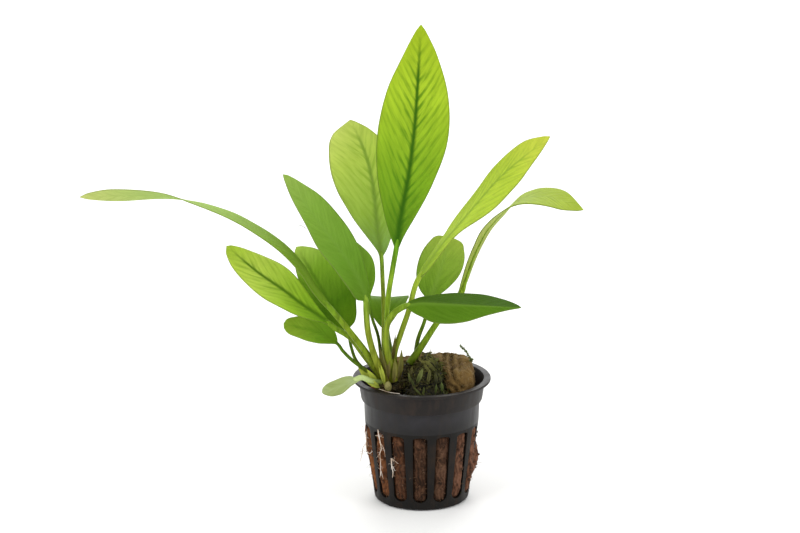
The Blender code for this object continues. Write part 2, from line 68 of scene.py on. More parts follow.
def addNode(tree, kind, settings=None, links=None):
    # a link comes from a socket, or from a node's first output in use
    kind, *mode = kind.split()
    node = tree.nodes.new("ShaderNode" + kind)
    if mode:
        setattr(node, modes[kind], mode[0])
    if kind == "Mix":
        node.data_type = "RGBA"
    for key, value in (settings or {}).items():
        if key == "stops":
            ramp = node.color_ramp
            while len(ramp.elements) < len(value):
                ramp.elements.new(0.5)
            for stop, (place, colour) in zip(ramp.elements, value):
                stop.position = place
                stop.color = toLinear(colour) if isinstance(colour, str) else (colour, colour, colour, 1)
        elif key == "range":
            for end, limit in zip(ends, value):
                node.inputs[end].default_value = limit
        elif isinstance(key, int) or key in node.inputs:
            node.inputs[key].default_value = toLinear(value) if isinstance(value, str) else value
        else:
            setattr(node, key, value)
    for key, source in (links or {}).items():
        if isinstance(source, bpy.types.Node):
            source = next(socket for socket in source.outputs if socket.enabled)
        tree.links.new(source, node.inputs[key])
    return node


def deselectAll():
    if bpy.context.object and bpy.context.object.mode != "OBJECT":
        bpy.ops.object.mode_set(mode="OBJECT")
    bpy.ops.object.select_all(action="DESELECT")


def takeNew(name):
    # the object that the last operator added
    piece = bpy.context.object
    piece.name = name
    piece.data.name = name
    return piece


def makeActive(piece):
    deselectAll()
    piece.select_set(True)
    bpy.context.view_layer.objects.active = piece


def editMesh(elements="VERT", action="SELECT"):
    bpy.ops.object.mode_set(mode="EDIT")
    bpy.ops.mesh.select_mode(type=elements)
    bpy.ops.mesh.select_all(action=action)


def leaveEdit():
    bpy.ops.object.mode_set(mode="OBJECT")


def applyModifiers(piece):
    makeActive(piece)
    for modifier in list(piece.modifiers):
        bpy.ops.object.modifier_apply(modifier=modifier.name)


def pointsOf(mesh):
    flat = np.empty(len(mesh.vertices) * 3)
    mesh.vertices.foreach_get("co", flat)
    return flat.reshape(-1, 3)


def joinAll(first, others):
    makeActive(first)
    for other in others:
        other.select_set(True)
    bpy.ops.object.join()
    return first


# Routes: the smooth lines that leaves, roots and threads follow

def smoothLine(points, steps):
    ends = [points[0] * 2 - points[1], *points, points[-1] * 2 - points[-2]]
    line = []
    for i in range(1, len(ends) - 2):
        before, start, end, after = ends[i - 1:i + 3]
        for step in range(steps):
            t = step / steps
            line.append(0.5 * (2 * start + (end - before) * t
                    + (2 * before - 5 * start + 4 * end - after) * t ** 2
                    + (3 * start - before - 3 * end + after) * t ** 3))
    return line + [points[-1].copy()]


def lengthsAlong(line):
    total = [0.0]
    for a, b in zip(line, line[1:]):
        total.append(total[-1] + (b - a).length)
    return total


def evenSpots(line, count):
    # the line again, at equal spacing
    reach = lengthsAlong(line)
    spots = []
    at = 1
    for i in range(count):
        distance = reach[-1] * i / (count - 1)
        while at < len(line) - 1 and reach[at] < distance:
            at += 1
        share = (distance - reach[at - 1]) / (reach[at] - reach[at - 1])
        spots.append(line[at - 1].lerp(line[at], min(1.0, share)))
    return spots


def addCurve(name, spots, thickness=0.0, radii=None, sides=2):
    curve = bpy.data.curves.new(name, "CURVE")
    curve.dimensions = "3D"
    curve.twist_mode = "MINIMUM"
    curve.bevel_depth = thickness
    curve.bevel_resolution = sides
    curve.use_fill_caps = thickness > 0
    spline = curve.splines.new("POLY")
    spline.points.add(len(spots) - 1)
    for i, spot in enumerate(spots):
        spline.points[i].co = (*spot, 1)
        spline.points[i].radius = radii[i] if radii else 1.0
    piece = bpy.data.objects.new(name, curve)
    bpy.context.scene.collection.objects.link(piece)
    return piece


def addTube(name, points, thickness, radii=None, sides=2, steps=5):
    line = smoothLine([Vector(point) * mm for point in points], steps)
    tube = addCurve(name, line, thickness, radii and [radii(i / (len(line) - 1))
            for i in range(len(line))], sides)
    makeActive(tube)
    bpy.ops.object.convert(target="MESH")
    bpy.ops.object.shade_smooth()
    return bpy.context.object


def finishPiece(piece, node, materials=None):
    for material in materials or []:
        piece.data.materials.append(material)
    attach(piece, "root")
    if node:
        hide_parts(node)


# Camera, floor and light

# aim and distance in mm, tilt in degrees
shot = {"aim": (-8.66, 0.0, 95.3), "down": 15.7, "away": 1300.0, "lens": 148.6}

studio = {
    "floor": 12, "drop": -0.0002, "aim": (0, 0, 0.08),   # metres
    "sky": 0.85,
    # place, size in metres and power in watts
    "lamps": {"softboxLeft": ((-0.9, -0.7, 0.9), 0.8, 7.0), "softboxRight": ((1.0, -0.5, 0.7), 0.7, 5.0),
              "softboxBack": ((0.1, 1.0, 0.8), 0.9, 8.0)},
}


def setCamera():
    down = math.radians(shot["down"])
    aim = Vector(shot["aim"]) * mm
    place = aim + Vector((0, -math.cos(down), math.sin(down))) * shot["away"] * mm
    bpy.ops.object.camera_add(location=place, rotation=(math.pi / 2 - down, 0, 0))
    camera = takeNew("camera")
    camera.data.lens = shot["lens"]
    camera.data.sensor_width = 36
    camera.data.clip_end = 20
    bpy.context.scene.camera = camera


def setStudio():
    # a pale sweep, lit all round, as for a catalogue picture on white
    material, add = newMaterial("matt white paper")
    grain = add("TexNoise", {"Scale": 60.0, "Detail": 3.0})
    tone = add("ValToRGB", {"stops": [(0.3, "#f3f3f2"), (0.7, "#f7f7f6")]}, {"Fac": grain})
    paper = add("BsdfPrincipled", {"Roughness": 0.9, "Specular IOR Level": 0.1}, {"Base Color": tone})
    add("OutputMaterial", links={"Surface": paper})
    deselectAll()
    bpy.ops.mesh.primitive_plane_add(size=studio["floor"], location=(0, 0, studio["drop"]))
    floor = takeNew("floor")
    floor.data.materials.append(material)
    world = bpy.data.worlds.new("studio")
    world.use_nodes = True
    sky = world.node_tree.nodes["Background"].inputs
    sky["Color"].default_value = (1, 1, 1, 1)
    sky["Strength"].default_value = studio["sky"]
    bpy.context.scene.world = world
    for name, (place, size, power) in studio["lamps"].items():
        bpy.ops.object.light_add(type="AREA", location=place)
        lamp = takeNew(name)
        lamp.data.size = size
        lamp.data.energy = power
        lamp.rotation_euler = (Vector(studio["aim"]) - Vector(place)).to_track_quat("-Z", "Y").to_euler()
    bpy.context.scene.view_settings.view_transform = "Standard"


setCamera()
setStudio()
print("camera and studio ready")


# Leaves: one blade on one stalk each, along the same line as its CAD solid

# what most leaves share: fold, wave of the margin, gloss; dark streaks and flared foot of the stalk;
# how much the far half of the blade is darkened by painted shade
usualLeaf = {"fold": 0.1, "wave": 0.2, "gloss": 0.1, "streaks": 0.8, "flare": 0.55, "farHalfShade": 0.0}

leafBuild = {
    "rows": 64, "columns": 20,       # of the blade's grid
    "thickness": 0.36,               # mm, of the blade
    "quilt": 0.05,                   # mm, how far the blade swells between two side veins
    "climb": (1.45, 0.03),           # how a side vein climbs with the mm from the rib, and its bend
    "spots": 110,                    # points along the bending line
    "stations": (0, 0.04, 0.14, 0.3, 0.5, 0.7, 0.87, 0.97, 1),
}

# route: foot, then points to the tip in mm; stalk: its radius in mm
# blade: the point of the route where the blade starts; fold: slope of its halves
# right, left: half widths in mm at the stations, seen from the upper side with the tip up
# faces: where the upper side looks, from the blade's base to its tip
# wave: mm, how far the margin waves; veins: mm between side veins; show, ribShow: their strength
# glow: how much light passes through; tones: four greens from the blade's foot to its tip
leaves = {
    "leaf_tall": {
        "route": [(-13.3, -11.0, 53.6), (-14, -11.3, 66.5), (-13.4, -11, 84.5), (-11.6, -10, 96.7),
            (-10, -9.5, 106), (-8.5, -9, 117), (-5.2, -9.5, 135.5), (-3, -11, 154.5),
            (-1.8, -12, 172.5), (-0.6, -10.5, 194.5)],
        "stalk": 1.05, "blade": 4, "fold": 0.06,
        "right": (2.1, 5.4, 9.7, 13.3, 12.0, 6.9, 2.1), "left": (2.8, 6.8, 12.0, 14.1, 11.8, 6.0, 1.9),
        "faces": [(0.1, -1, 0.1), (0, -1, 0.1), (-0.1, -1, 0.2)],
        "wave": 0.25, "veins": 4.8, "show": 0.7, "ribShow": 0.95, "glow": 0.42,
        "tones": ("#669521", "#91ba2a", "#bdd63a", "#b1c72e"), "lines": ("#4a8414", "#3c700f"),
        "stem": ("#74811a", "#84a427", "#699b1c")},
    "leaf_tall_rear": {
        "route": [(-13.4, -8.4, 53.4), (-15, -8, 65.5), (-15, -6, 77), (-15.5, -3, 90.5), (-16, -1, 100),
            (-17.5, 1, 110), (-19, 3, 125.5), (-22, 3.5, 139.5), (-28, 0.5, 154.5)],
        "stalk": 0.85, "blade": 4,
        "right": (2.6, 5.7, 9.3, 11.0, 9.3, 5.4, 1.6), "left": (1.5, 4.5, 10.0, 14.3, 15.2, 13.1, 8.4),
        "faces": [(0.1, -1, 0.2), (0.1, -1, 0.3), (0.1, -1, 0.5)],
        "veins": 4.7, "show": 0.55, "ribShow": 0.7, "glow": 0.45,
        "tones": ("#90b266", "#b3cd5d", "#cfdf71", "#d9e383"), "lines": ("#9abb45", "#86a640"),
        "stem": ("#6b751a", "#839329", "#81a132")},
    "leaf_left_broad": {
        "route": [(-13.9, -13.6, 52.9), (-18.2, -15.5, 62), (-21, -17, 72.7), (-21.8, -18, 82),
            (-22, -18.5, 87), (-24, -19.5, 94.2), (-30.4, -21, 105.5), (-36.8, -22, 114.7),
            (-43, -23, 123.6), (-53.5, -24, 138.7)],
        "stalk": 1.15, "blade": 4,
        "right": (2.8, 4.7, 7.9, 10.1, 9.2, 5.3, 2.0), "left": (5.0, 7.0, 8.3, 8.9, 6.1, 3.8, 1.2),
        "faces": [(0.75, -0.65, 0.15), (0.7, -0.6, 0.35), (0.65, -0.55, 0.55)],
        "veins": 3.4, "show": 0.04, "ribShow": 0.15, "glow": 0.2, "gloss": 0.06,
        "tones": ("#5c811d", "#6c972c", "#83aa3f", "#9ab856"), "lines": ("#618a2a", "#80a448"),
        "stem": ("#6f6b17", "#86932b", "#7f9d2f")},
    "leaf_far_left": {
        "route": [(-15.9, -11.4, 53.0), (-22, -15, 64.5), (-30, -19, 76.5), (-36.3, -22, 85.3),
            (-41.9, -23.5, 93), (-46.9, -24, 101.6), (-54.3, -22, 109.2), (-65.3, -18, 115.8),
            (-78.5, -13, 121.1), (-98.5, -5, 124.9), (-120, -1, 124.4), (-134, 0, 123.5)],
        "stalk": 1.15, "blade": 3, "fold": 0.04,
        "right": (1.8, 2.4, 3.9, 7.4, 5.3, 4.7, 1.7), "left": (1.8, 2.5, 4.6, 7.8, 5.8, 5.1, 2.1),
        "faces": [(0.7, -0.59, 0.41), (0.46, -0.33, 0.83), (0.45, 0.01, 0.89), (0.22, 0.2, 0.95),
            (0.05, 0.55, 0.83), (-0.01, 0.82, 0.57)],
        "wave": 0.12, "veins": 3.4, "show": 0.1, "ribShow": 0.3, "glow": 0.25, "gloss": 0.03,
        "tones": ("#678d18", "#8aad39", "#b3ce71", "#cdd682"), "lines": ("#79a031", "#95b748"),
        "stem": ("#626711", "#778d1d", "#71941d")},
    "leaf_left_low": {
        "route": [(-15.9, -8.8, 52.7), (-22.5, -11.5, 62), (-28, -12, 69.5), (-34, -12, 73.5),
            (-36.5, -12, 75.7), (-39.2, -12, 77.7), (-47, -11.5, 83), (-54.5, -11, 88.9),
            (-65, -10.5, 96.4), (-76.3, -10, 106.4)],
        "stalk": 1.1, "blade": 4, "fold": 0.12,
        "right": (1.6, 3.8, 7.5, 10.2, 9.1, 5.5, 2.1), "left": (1.6, 4.7, 8.4, 10.5, 9.5, 7.0, 3.2),
        "faces": [(0.3, -0.45, 0.85), (0.5, -0.5, 0.7), (0.5, -0.5, 0.7)],
        "veins": 4.4, "show": 0.48, "ribShow": 0.95, "glow": 0.4,
        "tones": ("#87bb1f", "#b8d941", "#d8e96b", "#cbe052"), "lines": ("#71a41d", "#618e12"),
        "stem": ("#616413", "#74891f", "#6e911c")},
    "leaf_left_inner": {
        "route": [(-18.4, -9.0, 51.9), (-25.4, -6, 57.5), (-28, -2.5, 63), (-29.5, -0.5, 69.5),
            (-34.5, 0.5, 77.5), (-40, 1, 86.4), (-49.4, 1.5, 103)],
        "stalk": 0.6, "blade": 3,
        "right": (4.5, 7.8, 10.7, 11.0, 9.9, 6.6, 2.3), "left": (3.3, 4.6, 6.0, 6.6, 6.2, 4.2, 1.6),
        "faces": [(0.2, -0.9, 0.2), (0.2, -0.9, 0.3), (0.3, -0.8, 0.5)],
        "veins": 3.3, "show": 0.3, "ribShow": 0.5, "glow": 0.28,
        "tones": ("#6b9115", "#588313", "#8eb735", "#c2dc65"), "lines": ("#67941c", "#507813"),
        "stem": ("#585a0e", "#5d7a14", "#537510")},
    "leaf_left_under": {
        "route": [(-18.3, -11.6, 52.3), (-22, -12.8, 56.5), (-27, -12, 60), (-31, -10.5, 63.6),
            (-33.6, -9.5, 66.7), (-40.4, -8.5, 70.7), (-48.2, -7.5, 72.4), (-54.5, -6.5, 73.8)],
        "stalk": 0.65, "blade": 4,
        "right": (1.8, 3.6, 4.7, 5.2, 5.1, 3.7, 2.1), "left": (1.2, 2.8, 4.7, 5.1, 4.3, 3.6, 1.8),
        "faces": [(0.2, -0.75, 0.6), (0.1, -0.75, 0.65), (0, -0.75, 0.65)],
        "wave": 0.15, "veins": 2.6, "show": 0.12, "ribShow": 0.5, "glow": 0.2,
        "tones": ("#648d11", "#78a429", "#91b037", "#8eab35"), "lines": ("#598213", "#68921e"),
        "stem": ("#566011", "#4d6c11", "#54780e")},
    "leaf_small_drooping": {
        "route": [(-16.4, -13.9, 52.0), (-20, -17.5, 53.6), (-23.5, -19.3, 55.6), (-26.1, -20, 54.9),
            (-31, -21, 53), (-35.2, -21.5, 51.2), (-39.2, -21.5, 50.2)],
        "stalk": 1.1, "blade": 3,
        "right": (2.6, 3.4, 3.9, 4.1, 4.3, 3.5, 1.9), "left": (1.9, 2.5, 3.5, 4.5, 4.0, 2.2, 0.9),
        "faces": [(-0.1, -0.35, 0.9), (-0.2, -0.4, 0.85), (-0.3, -0.4, 0.8)],
        "wave": 0.1, "veins": 2.2, "show": 0.15, "ribShow": 0.3, "glow": 0.3, "streaks": 0.2,
        "flare": 0.0,
        "tones": ("#c0ce9c", "#b0be7e", "#adbb78", "#b4c288"), "lines": ("#9ab469", "#bccb91"),
        "stem": ("#7c9036", "#9cb050", "#b4c684")},
    "leaf_behind": {
        "route": [(-15.4, -5.4, 50.4), (-17, -6, 67), (-19.2, -7.5, 75), (-20.8, -9.5, 81.7),
            (-22.8, -10.5, 91.7), (-27.5, -11, 102.6), (-34.7, -10.5, 114)],
        "stalk": 0.6, "blade": 3,
        "right": (1.0, 1.6, 4.9, 6.8, 4.8, 2.4, 0.9), "left": (1.0, 2.2, 5.0, 6.4, 5.6, 3.2, 1.2),
        "faces": [(0.1, -0.95, 0.2), (0.1, -0.95, 0.3), (0.1, -0.9, 0.4)],
        "wave": 0.15, "veins": 3, "show": 0.06, "ribShow": 0.4, "glow": 0.2,
        "tones": ("#658c1f", "#69941f", "#78a033", "#86ac40"), "lines": ("#5d8c1f", "#659027"),
        "stem": ("#484c0e", "#526a14", "#5f7f1a")},
    "leaf_centre_rear": {
        "route": [(-10.8, -8.2, 52.9), (-12.6, -5.5, 62.5), (-14, -3, 70.5), (-14.3, 1, 76.6),
            (-13.5, 6, 79.7), (-13.5, 11, 79.4), (-13, 20, 75), (-12.5, 29, 68)],
        "stalk": 1, "blade": 2,
        "right": (1.7, 4.4, 7.4, 8.3, 6.8, 4.2, 1.7), "left": (2.6, 5.2, 7.3, 7.8, 6.5, 4.1, 1.7),
        "faces": [(0, -0.8, 0.6), (0, -0.2, 1), (0, 0.5, 0.85)],
        "wave": 0.1, "veins": 3, "show": 0.1, "ribShow": 0.4, "glow": 0.2,
        "tones": ("#5b7f11", "#62861d", "#5e851c", "#5b831a"), "lines": ("#4f7611", "#557b14"),
        "stem": ("#575a11", "#677a1a", "#61801c")},
    "leaf_right_low": {
        "route": [(-11.3, -13.4, 52.5), (-14, -15.3, 67.5), (-13.8, -16, 75.5), (-11.7, -17, 80.4),
            (-9.1, -18, 83), (-6, -19, 84.9), (-3, -19.3, 85.8), (1, -20, 86.3), (11, -21, 86),
            (22.5, -21, 85.3), (32, -20, 84.5), (38.5, -19, 84)],
        "stalk": 1.2, "blade": 5, "fold": -0.26,
        "right": (4.1, 6.6, 9.4, 9.0, 5.2, 2.1, 0.6), "left": (1.9, 4.2, 8.2, 11.1, 10.2, 6.3, 2.3),
        "faces": [(-0.1, -0.5, 0.85), (0.05, -0.32, 0.95), (0.1, -0.22, 0.97)],
        "wave": 0.12, "veins": 3.2, "show": 0.1, "ribShow": 0.45, "glow": 0.1, "gloss": 0.02,
        # painted shade on the far half of this blade
        "farHalfShade": 0.6,
        "tones": ("#577b1a", "#54781c", "#547a1a", "#517919"), "lines": ("#466e14", "#6f9037"),
        "stem": ("#676714", "#829627", "#7c9c27")},
    "leaf_round": {
        "route": [(-2.6, 4.8, 54.9), (-1.6, 6.5, 63), (1, 7.5, 70.3), (3, 8, 77.9), (6, 9, 87),
            (8.9, 10, 96), (11.2, 11.5, 104.4)],
        "stalk": 0.7, "blade": 3, "fold": 0.08,
        "right": (1.0, 2.5, 5.3, 7.7, 8.1, 6.7, 4.6), "left": (1.2, 5.2, 8.2, 9.4, 9.1, 7.3, 4.8),
        "faces": [(0, -0.95, 0.2), (0, -0.95, 0.3), (0, -0.9, 0.4)],
        "wave": 0.15, "veins": 2.8, "show": 0.06, "ribShow": 0.35, "glow": 0.2,
        "tones": ("#628922", "#7ca22e", "#93b240", "#abc24e"), "lines": ("#6d962a", "#87a943"),
        "stem": ("#5a6414", "#6c8c1d", "#6c901d")},
    "leaf_right_high": {
        "route": [(-10.7, -10.8, 53.2), (-11, -10.1, 62), (-8.6, -10, 70), (-5.3, -10, 80),
            (-2.9, -9.5, 89.4), (-0.9, -9, 93.9), (1.6, -8.5, 97.5), (7.7, -7.5, 106.2),
            (16, -6, 115.9), (23.8, -5, 125.1), (32.5, -4, 134.5), (49.7, -2, 148.4)],
        "stalk": 1.05, "blade": 5, "fold": -0.1,
        "right": (2.8, 4.0, 5.6, 11.7, 11.8, 6.0, 1.7), "left": (2.8, 4.2, 10.4, 10.1, 10.2, 9.0, 3.0),
        "faces": [(-0.84, -0.34, 0.43), (-0.69, -0.1, 0.71), (-0.72, -0.24, 0.65), (-0.62, -0.36, 0.7),
            (-0.6, -0.4, 0.69)],
        "veins": 4.4, "show": 0.5, "ribShow": 0.6, "glow": 0.42,
        "tones": ("#a7c640", "#cadf52", "#cbde4c", "#d7dd57"), "lines": ("#9bbb3c", "#92b33a"),
        "stem": ("#777a1d", "#899c29", "#98b234")},
    "leaf_far_right": {
        "route": [(-4.8, 2.2, 54.5), (0.4, 4, 62), (6.7, 7, 71), (14.5, 9.7, 80.3), (17, 11, 86.2),
            (19.5, 12, 93.5), (22.4, 12, 100.5), (26.8, 11, 108.6), (36, 9, 118.4), (43.5, 8, 121.4),
            (51, 7, 121.5), (57, 6, 119.8), (63.5, 5, 117)],
        "stalk": 1.15, "blade": 3, "fold": 0.04,
        "right": (1.6, 2.4, 3.4, 6.4, 6.6, 6.8, 2.4), "left": (1.6, 2.5, 3.5, 6.4, 6.5, 6.9, 1.8),
        "faces": [(-0.7, 0.69, 0.18), (-0.72, 0.56, 0.4), (-0.65, 0.36, 0.67), (0.01, -0.24, 0.97),
            (0.28, -0.41, 0.87)],
        "wave": 0.12, "veins": 3.3, "show": 0.06, "ribShow": 0.3, "glow": 0.3,
        "tones": ("#92aa37", "#b1bc62", "#c5d763", "#afc33d"), "lines": ("#98b444", "#afc360"),
        "stem": ("#677916", "#809f21", "#85a327")},
}


def halfWidth(t, leaf, side):
    # mm, on a smooth curve through the stations
    stations = leafBuild["stations"]
    values = [leaf["stalk"], *leaf[side], 0.0]
    last = len(stations) - 1
    first = max(i for i in range(last) if stations[i] <= t)
    slopes = []
    for i in (first, first + 1):
        before, after = max(i - 1, 0), min(i + 1, last)
        slopes.append((values[after] - values[before]) / (stations[after] - stations[before]))
    span = stations[first + 1] - stations[first]
    u = (t - stations[first]) / span
    smooth = values[first] + (values[first + 1] - values[first]) * (3 * u ** 2 - 2 * u ** 3)
    return max(0.0, smooth + span * (slopes[0] * u * (1 - u) ** 2 - slopes[1] * u ** 2 * (1 - u)))


def bladeMaterial(name, leaf):
    # a living leaf: a waxy, satin skin over green tissue that some light passes through
    vein, rib = leaf["lines"]
    material, add = newMaterial(name)
    chart = add("UVMap", {"uv_map": "leafChart"})
    shares = add("SeparateXYZ", links={"Vector": chart})
    along = shares.outputs["X"]
    fromRib = add("Math ABSOLUTE", links={0: shares.outputs["Y"]})
    side = add("Math SIGN", links={0: shares.outputs["Y"]})
    measure = add("UVMap", {"uv_map": "leafSize"})
    sizes = add("SeparateXYZ", links={"Vector": measure})
    off = add("Math ABSOLUTE", links={0: sizes.outputs["Y"]})
    # side veins leave the rib at a slant and bend towards the tip, the two halves out of step
    bend = add("Math MULTIPLY_ADD", {1: leafBuild["climb"][1], 2: leafBuild["climb"][0]}, {0: off})
    climb = add("Math MULTIPLY", links={0: off, 1: bend})
    slant = add("Math SUBTRACT", links={0: sizes.outputs["X"], 1: climb})
    stagger = add("Math MULTIPLY_ADD", {1: leaf["veins"] * 0.25}, {0: side, 2: slant})
    apart = add("Math MULTIPLY", {1: 40.0}, {0: side})
    grain = add("CombineXYZ", links={"X": stagger, "Y": off, "Z": apart})
    veinScale = math.pi / 10 / leaf["veins"]
    bands = add("TexWave", {"Scale": veinScale, "Distortion": 8.0, "Detail": 3.0, "Detail Scale": 0.9,
            "Detail Roughness": 0.5}, {"Vector": grain})
    veinLine = add("MapRange SMOOTHSTEP", {"range": (0.3, 1)}, {"Value": bands.outputs["Fac"]})
    fine = add("TexWave", {"Scale": veinScale * 3.3, "Distortion": 3.2, "Detail": 2.0,
            "Detail Scale": 0.6}, {"Vector": grain})
    # mottling, drawn out along the side veins
    drawn = add("VectorMath MULTIPLY", {1: (0.4, 0.2, 1.0)}, {0: grain})
    streaks = add("TexNoise", {"Scale": 1.0, "Detail": 4.0, "Roughness": 0.6}, {"Vector": drawn})
    # the side veins are strongest beside the rib and fade to the margin and the tip
    fade = add("MapRange", {"range": (0.15, 0.95, 0.85, 0.2)}, {"Value": fromRib})
    tipFade = add("MapRange", {"range": (0.78, 0.97, 1, 0)}, {"Value": along})
    broken = add("MapRange", {"range": (0.36, 0.58, 0.15, 1.1)}, {"Value": streaks})
    shown = add("Math MULTIPLY", links={0: fade, 1: tipFade})
    shown = add("Math MULTIPLY", links={0: shown, 1: broken})
    shown = add("Math MULTIPLY", {1: leaf["show"]}, {0: shown})
    veinShare = add("Math MULTIPLY", links={0: shown, 1: veinLine})
    fineShare = add("Math MULTIPLY", {1: 0.22}, {0: fine.outputs["Fac"]})
    fineShown = add("Math MULTIPLY", links={0: fineShare, 1: shown})
    # the midrib: broad at the blade's foot, thin and ragged where it ends before the tip
    ribWide = add("MapRange", {"range": (0, 0.95, 2.3, 0.75)}, {"Value": along})
    ragged = add("Math MULTIPLY_ADD", {1: 1.3, 2: -0.65}, {0: streaks})
    ribEdge = add("Math ADD", links={0: ribWide, 1: ragged})
    ribShare = add("MapRange SMOOTHSTEP", {"range": (0.1, 1, leaf["ribShow"], 0)},
            {"Value": off, "From Max": ribEdge})
    ribShown = add("Math MULTIPLY", links={0: ribShare, 1: tipFade})
    tone = add("ValToRGB", {"stops": list(zip((0.0, 0.3, 0.7, 1.0), leaf["tones"]))}, {"Fac": along})
    mottle = add("MapRange", {"range": (0.4, 0.7, 0, 0.55)}, {"Value": streaks})
    lighter = add("Mix MULTIPLY", {7: "#dbe2c6"}, {0: mottle, 6: tone})
    combed = add("Mix", {7: vein}, {0: fineShown, 6: lighter})
    veined = add("Mix", {7: vein}, {0: veinShare, 6: combed})
    ribbed = add("Mix", {7: rib}, {0: ribShown, 6: veined})
    # painted shade: the blade's far half, past the rib, is darkened towards #9aa684
    halves = add("MapRange SMOOTHSTEP", {"range": (-0.05, 0.05, 0, leaf["farHalfShade"])},
            {"Value": shares.outputs["Y"]})
    halfShaded = add("Mix MULTIPLY", {7: "#9aa684"}, {0: halves, 6: ribbed})
    # a thin greyer line where the blade ends
    margin = add("MapRange", {"range": (0.955, 0.995, 0, 0.55)}, {"Value": fromRib})
    colour = add("Mix", {7: "#7e8c48"}, {0: margin, 6: halfShaded})
    height = add("Math MULTIPLY_ADD", {1: -0.8}, {0: veinLine, 2: streaks})
    bump = add("Bump", {"Strength": 0.2, "Distance": 0.0003}, {"Height": height})
    skin = add("BsdfPrincipled", {"Roughness": 0.48, "IOR": 1.4, "Specular IOR Level": leaf["gloss"]},
            {"Base Color": colour, "Normal": bump})
    through = add("BsdfTranslucent", links={"Color": colour, "Normal": bump})
    both = add("MixShader", {0: leaf["glow"]}, {1: skin, 2: through})
    add("OutputMaterial", links={"Surface": both})
    return material


def stalkMaterial(name, leaf):
    # a fleshy stalk: satin skin with faint long streaks, brown where it leaves the crown
    low, middle, high = leaf["stem"]
    material, add = newMaterial(name)
    place = add("TexCoord")
    tall = add("VectorMath MULTIPLY", {1: (1.0, 1.0, 0.14)}, {0: place.outputs["Object"]})
    flecks = add("TexNoise", {"Scale": 900.0, "Detail": 3.0}, {"Vector": tall})
    blotches = add("TexNoise", {"Scale": 190.0, "Detail": 2.0}, {"Vector": place.outputs["Object"]})
    chart = add("UVMap", {"uv_map": "leafSize"})
    reach = add("SeparateXYZ", links={"Vector": chart})
    risen = add("Math MULTIPLY_ADD", {1: 14.0}, {0: blotches, 2: reach.outputs["Y"]})
    crown = add("MapRange", {"range": (6, 22)}, {"Value": risen})
    nearBlade = add("MapRange SMOOTHSTEP", {"range": (-16, 0)}, {"Value": reach.outputs["X"]})
    skinTone = add("Mix", {6: low, 7: middle}, {0: crown})
    topTone = add("Mix", {7: high}, {0: nearBlade, 6: skinTone})
    streak = add("MapRange", {"range": (0.4, 0.64, 0, leaf["streaks"])}, {"Value": flecks})
    tone = add("Mix MULTIPLY", {7: "#b9bd98"}, {0: streak, 6: topTone})
    skin = add("BsdfPrincipled", {"Roughness": 0.45, "Specular IOR Level": 0.1}, {"Base Color": tone})
    add("OutputMaterial", links={"Surface": skin})
    return material


def facesAlong(leaf, count, bladeShare):
    # where the upper side looks at each spot of the line
    faces = [Vector(face).normalized() for face in leaf["faces"]]
    out = []
    for i in range(count):
        t = max(0.0, (i / (count - 1) - bladeShare) / (1 - bladeShare))
        place = t * (len(faces) - 1)
        first = min(int(place), len(faces) - 2)
        out.append(faces[first].lerp(faces[first + 1], place - first).normalized())
    return out


def aimGuide(guide, spots, faces):
    # bends a flat strip along the guide, sees which way its width lies, and tilts each point to suit
    count = len(spots)
    length = lengthsAlong(spots)[-1]
    deselectAll()
    bpy.ops.mesh.primitive_grid_add(x_subdivisions=count - 1, y_subdivisions=1, size=1)
    strip = takeNew("strip")
    makeActive(strip)
    editMesh()
    bpy.ops.transform.resize(value=(length, 0.001, 1), center_override=(0, 0, 0))
    bpy.ops.transform.translate(value=(length / 2, 0, 0))
    leaveEdit()
    bend = strip.modifiers.new("bend", "CURVE")
    bend.object = guide
    bpy.ops.object.modifier_apply(modifier="bend")
    for i, face in enumerate(faces):
        ahead = (spots[min(i + 1, count - 1)] - spots[max(i - 1, 0)]).normalized()
        lies = (strip.data.vertices[i + count].co - strip.data.vertices[i].co).normalized()
        wanted = face.cross(ahead).normalized()
        angle = math.atan2(lies.cross(wanted).dot(ahead), lies.dot(wanted))
        before = guide.data.splines[0].points[i - 1].tilt if i else angle
        while angle - before > math.pi:
            angle -= 2 * math.pi
        while angle - before < -math.pi:
            angle += 2 * math.pi
        guide.data.splines[0].points[i].tilt = angle
    bpy.data.objects.remove(strip)


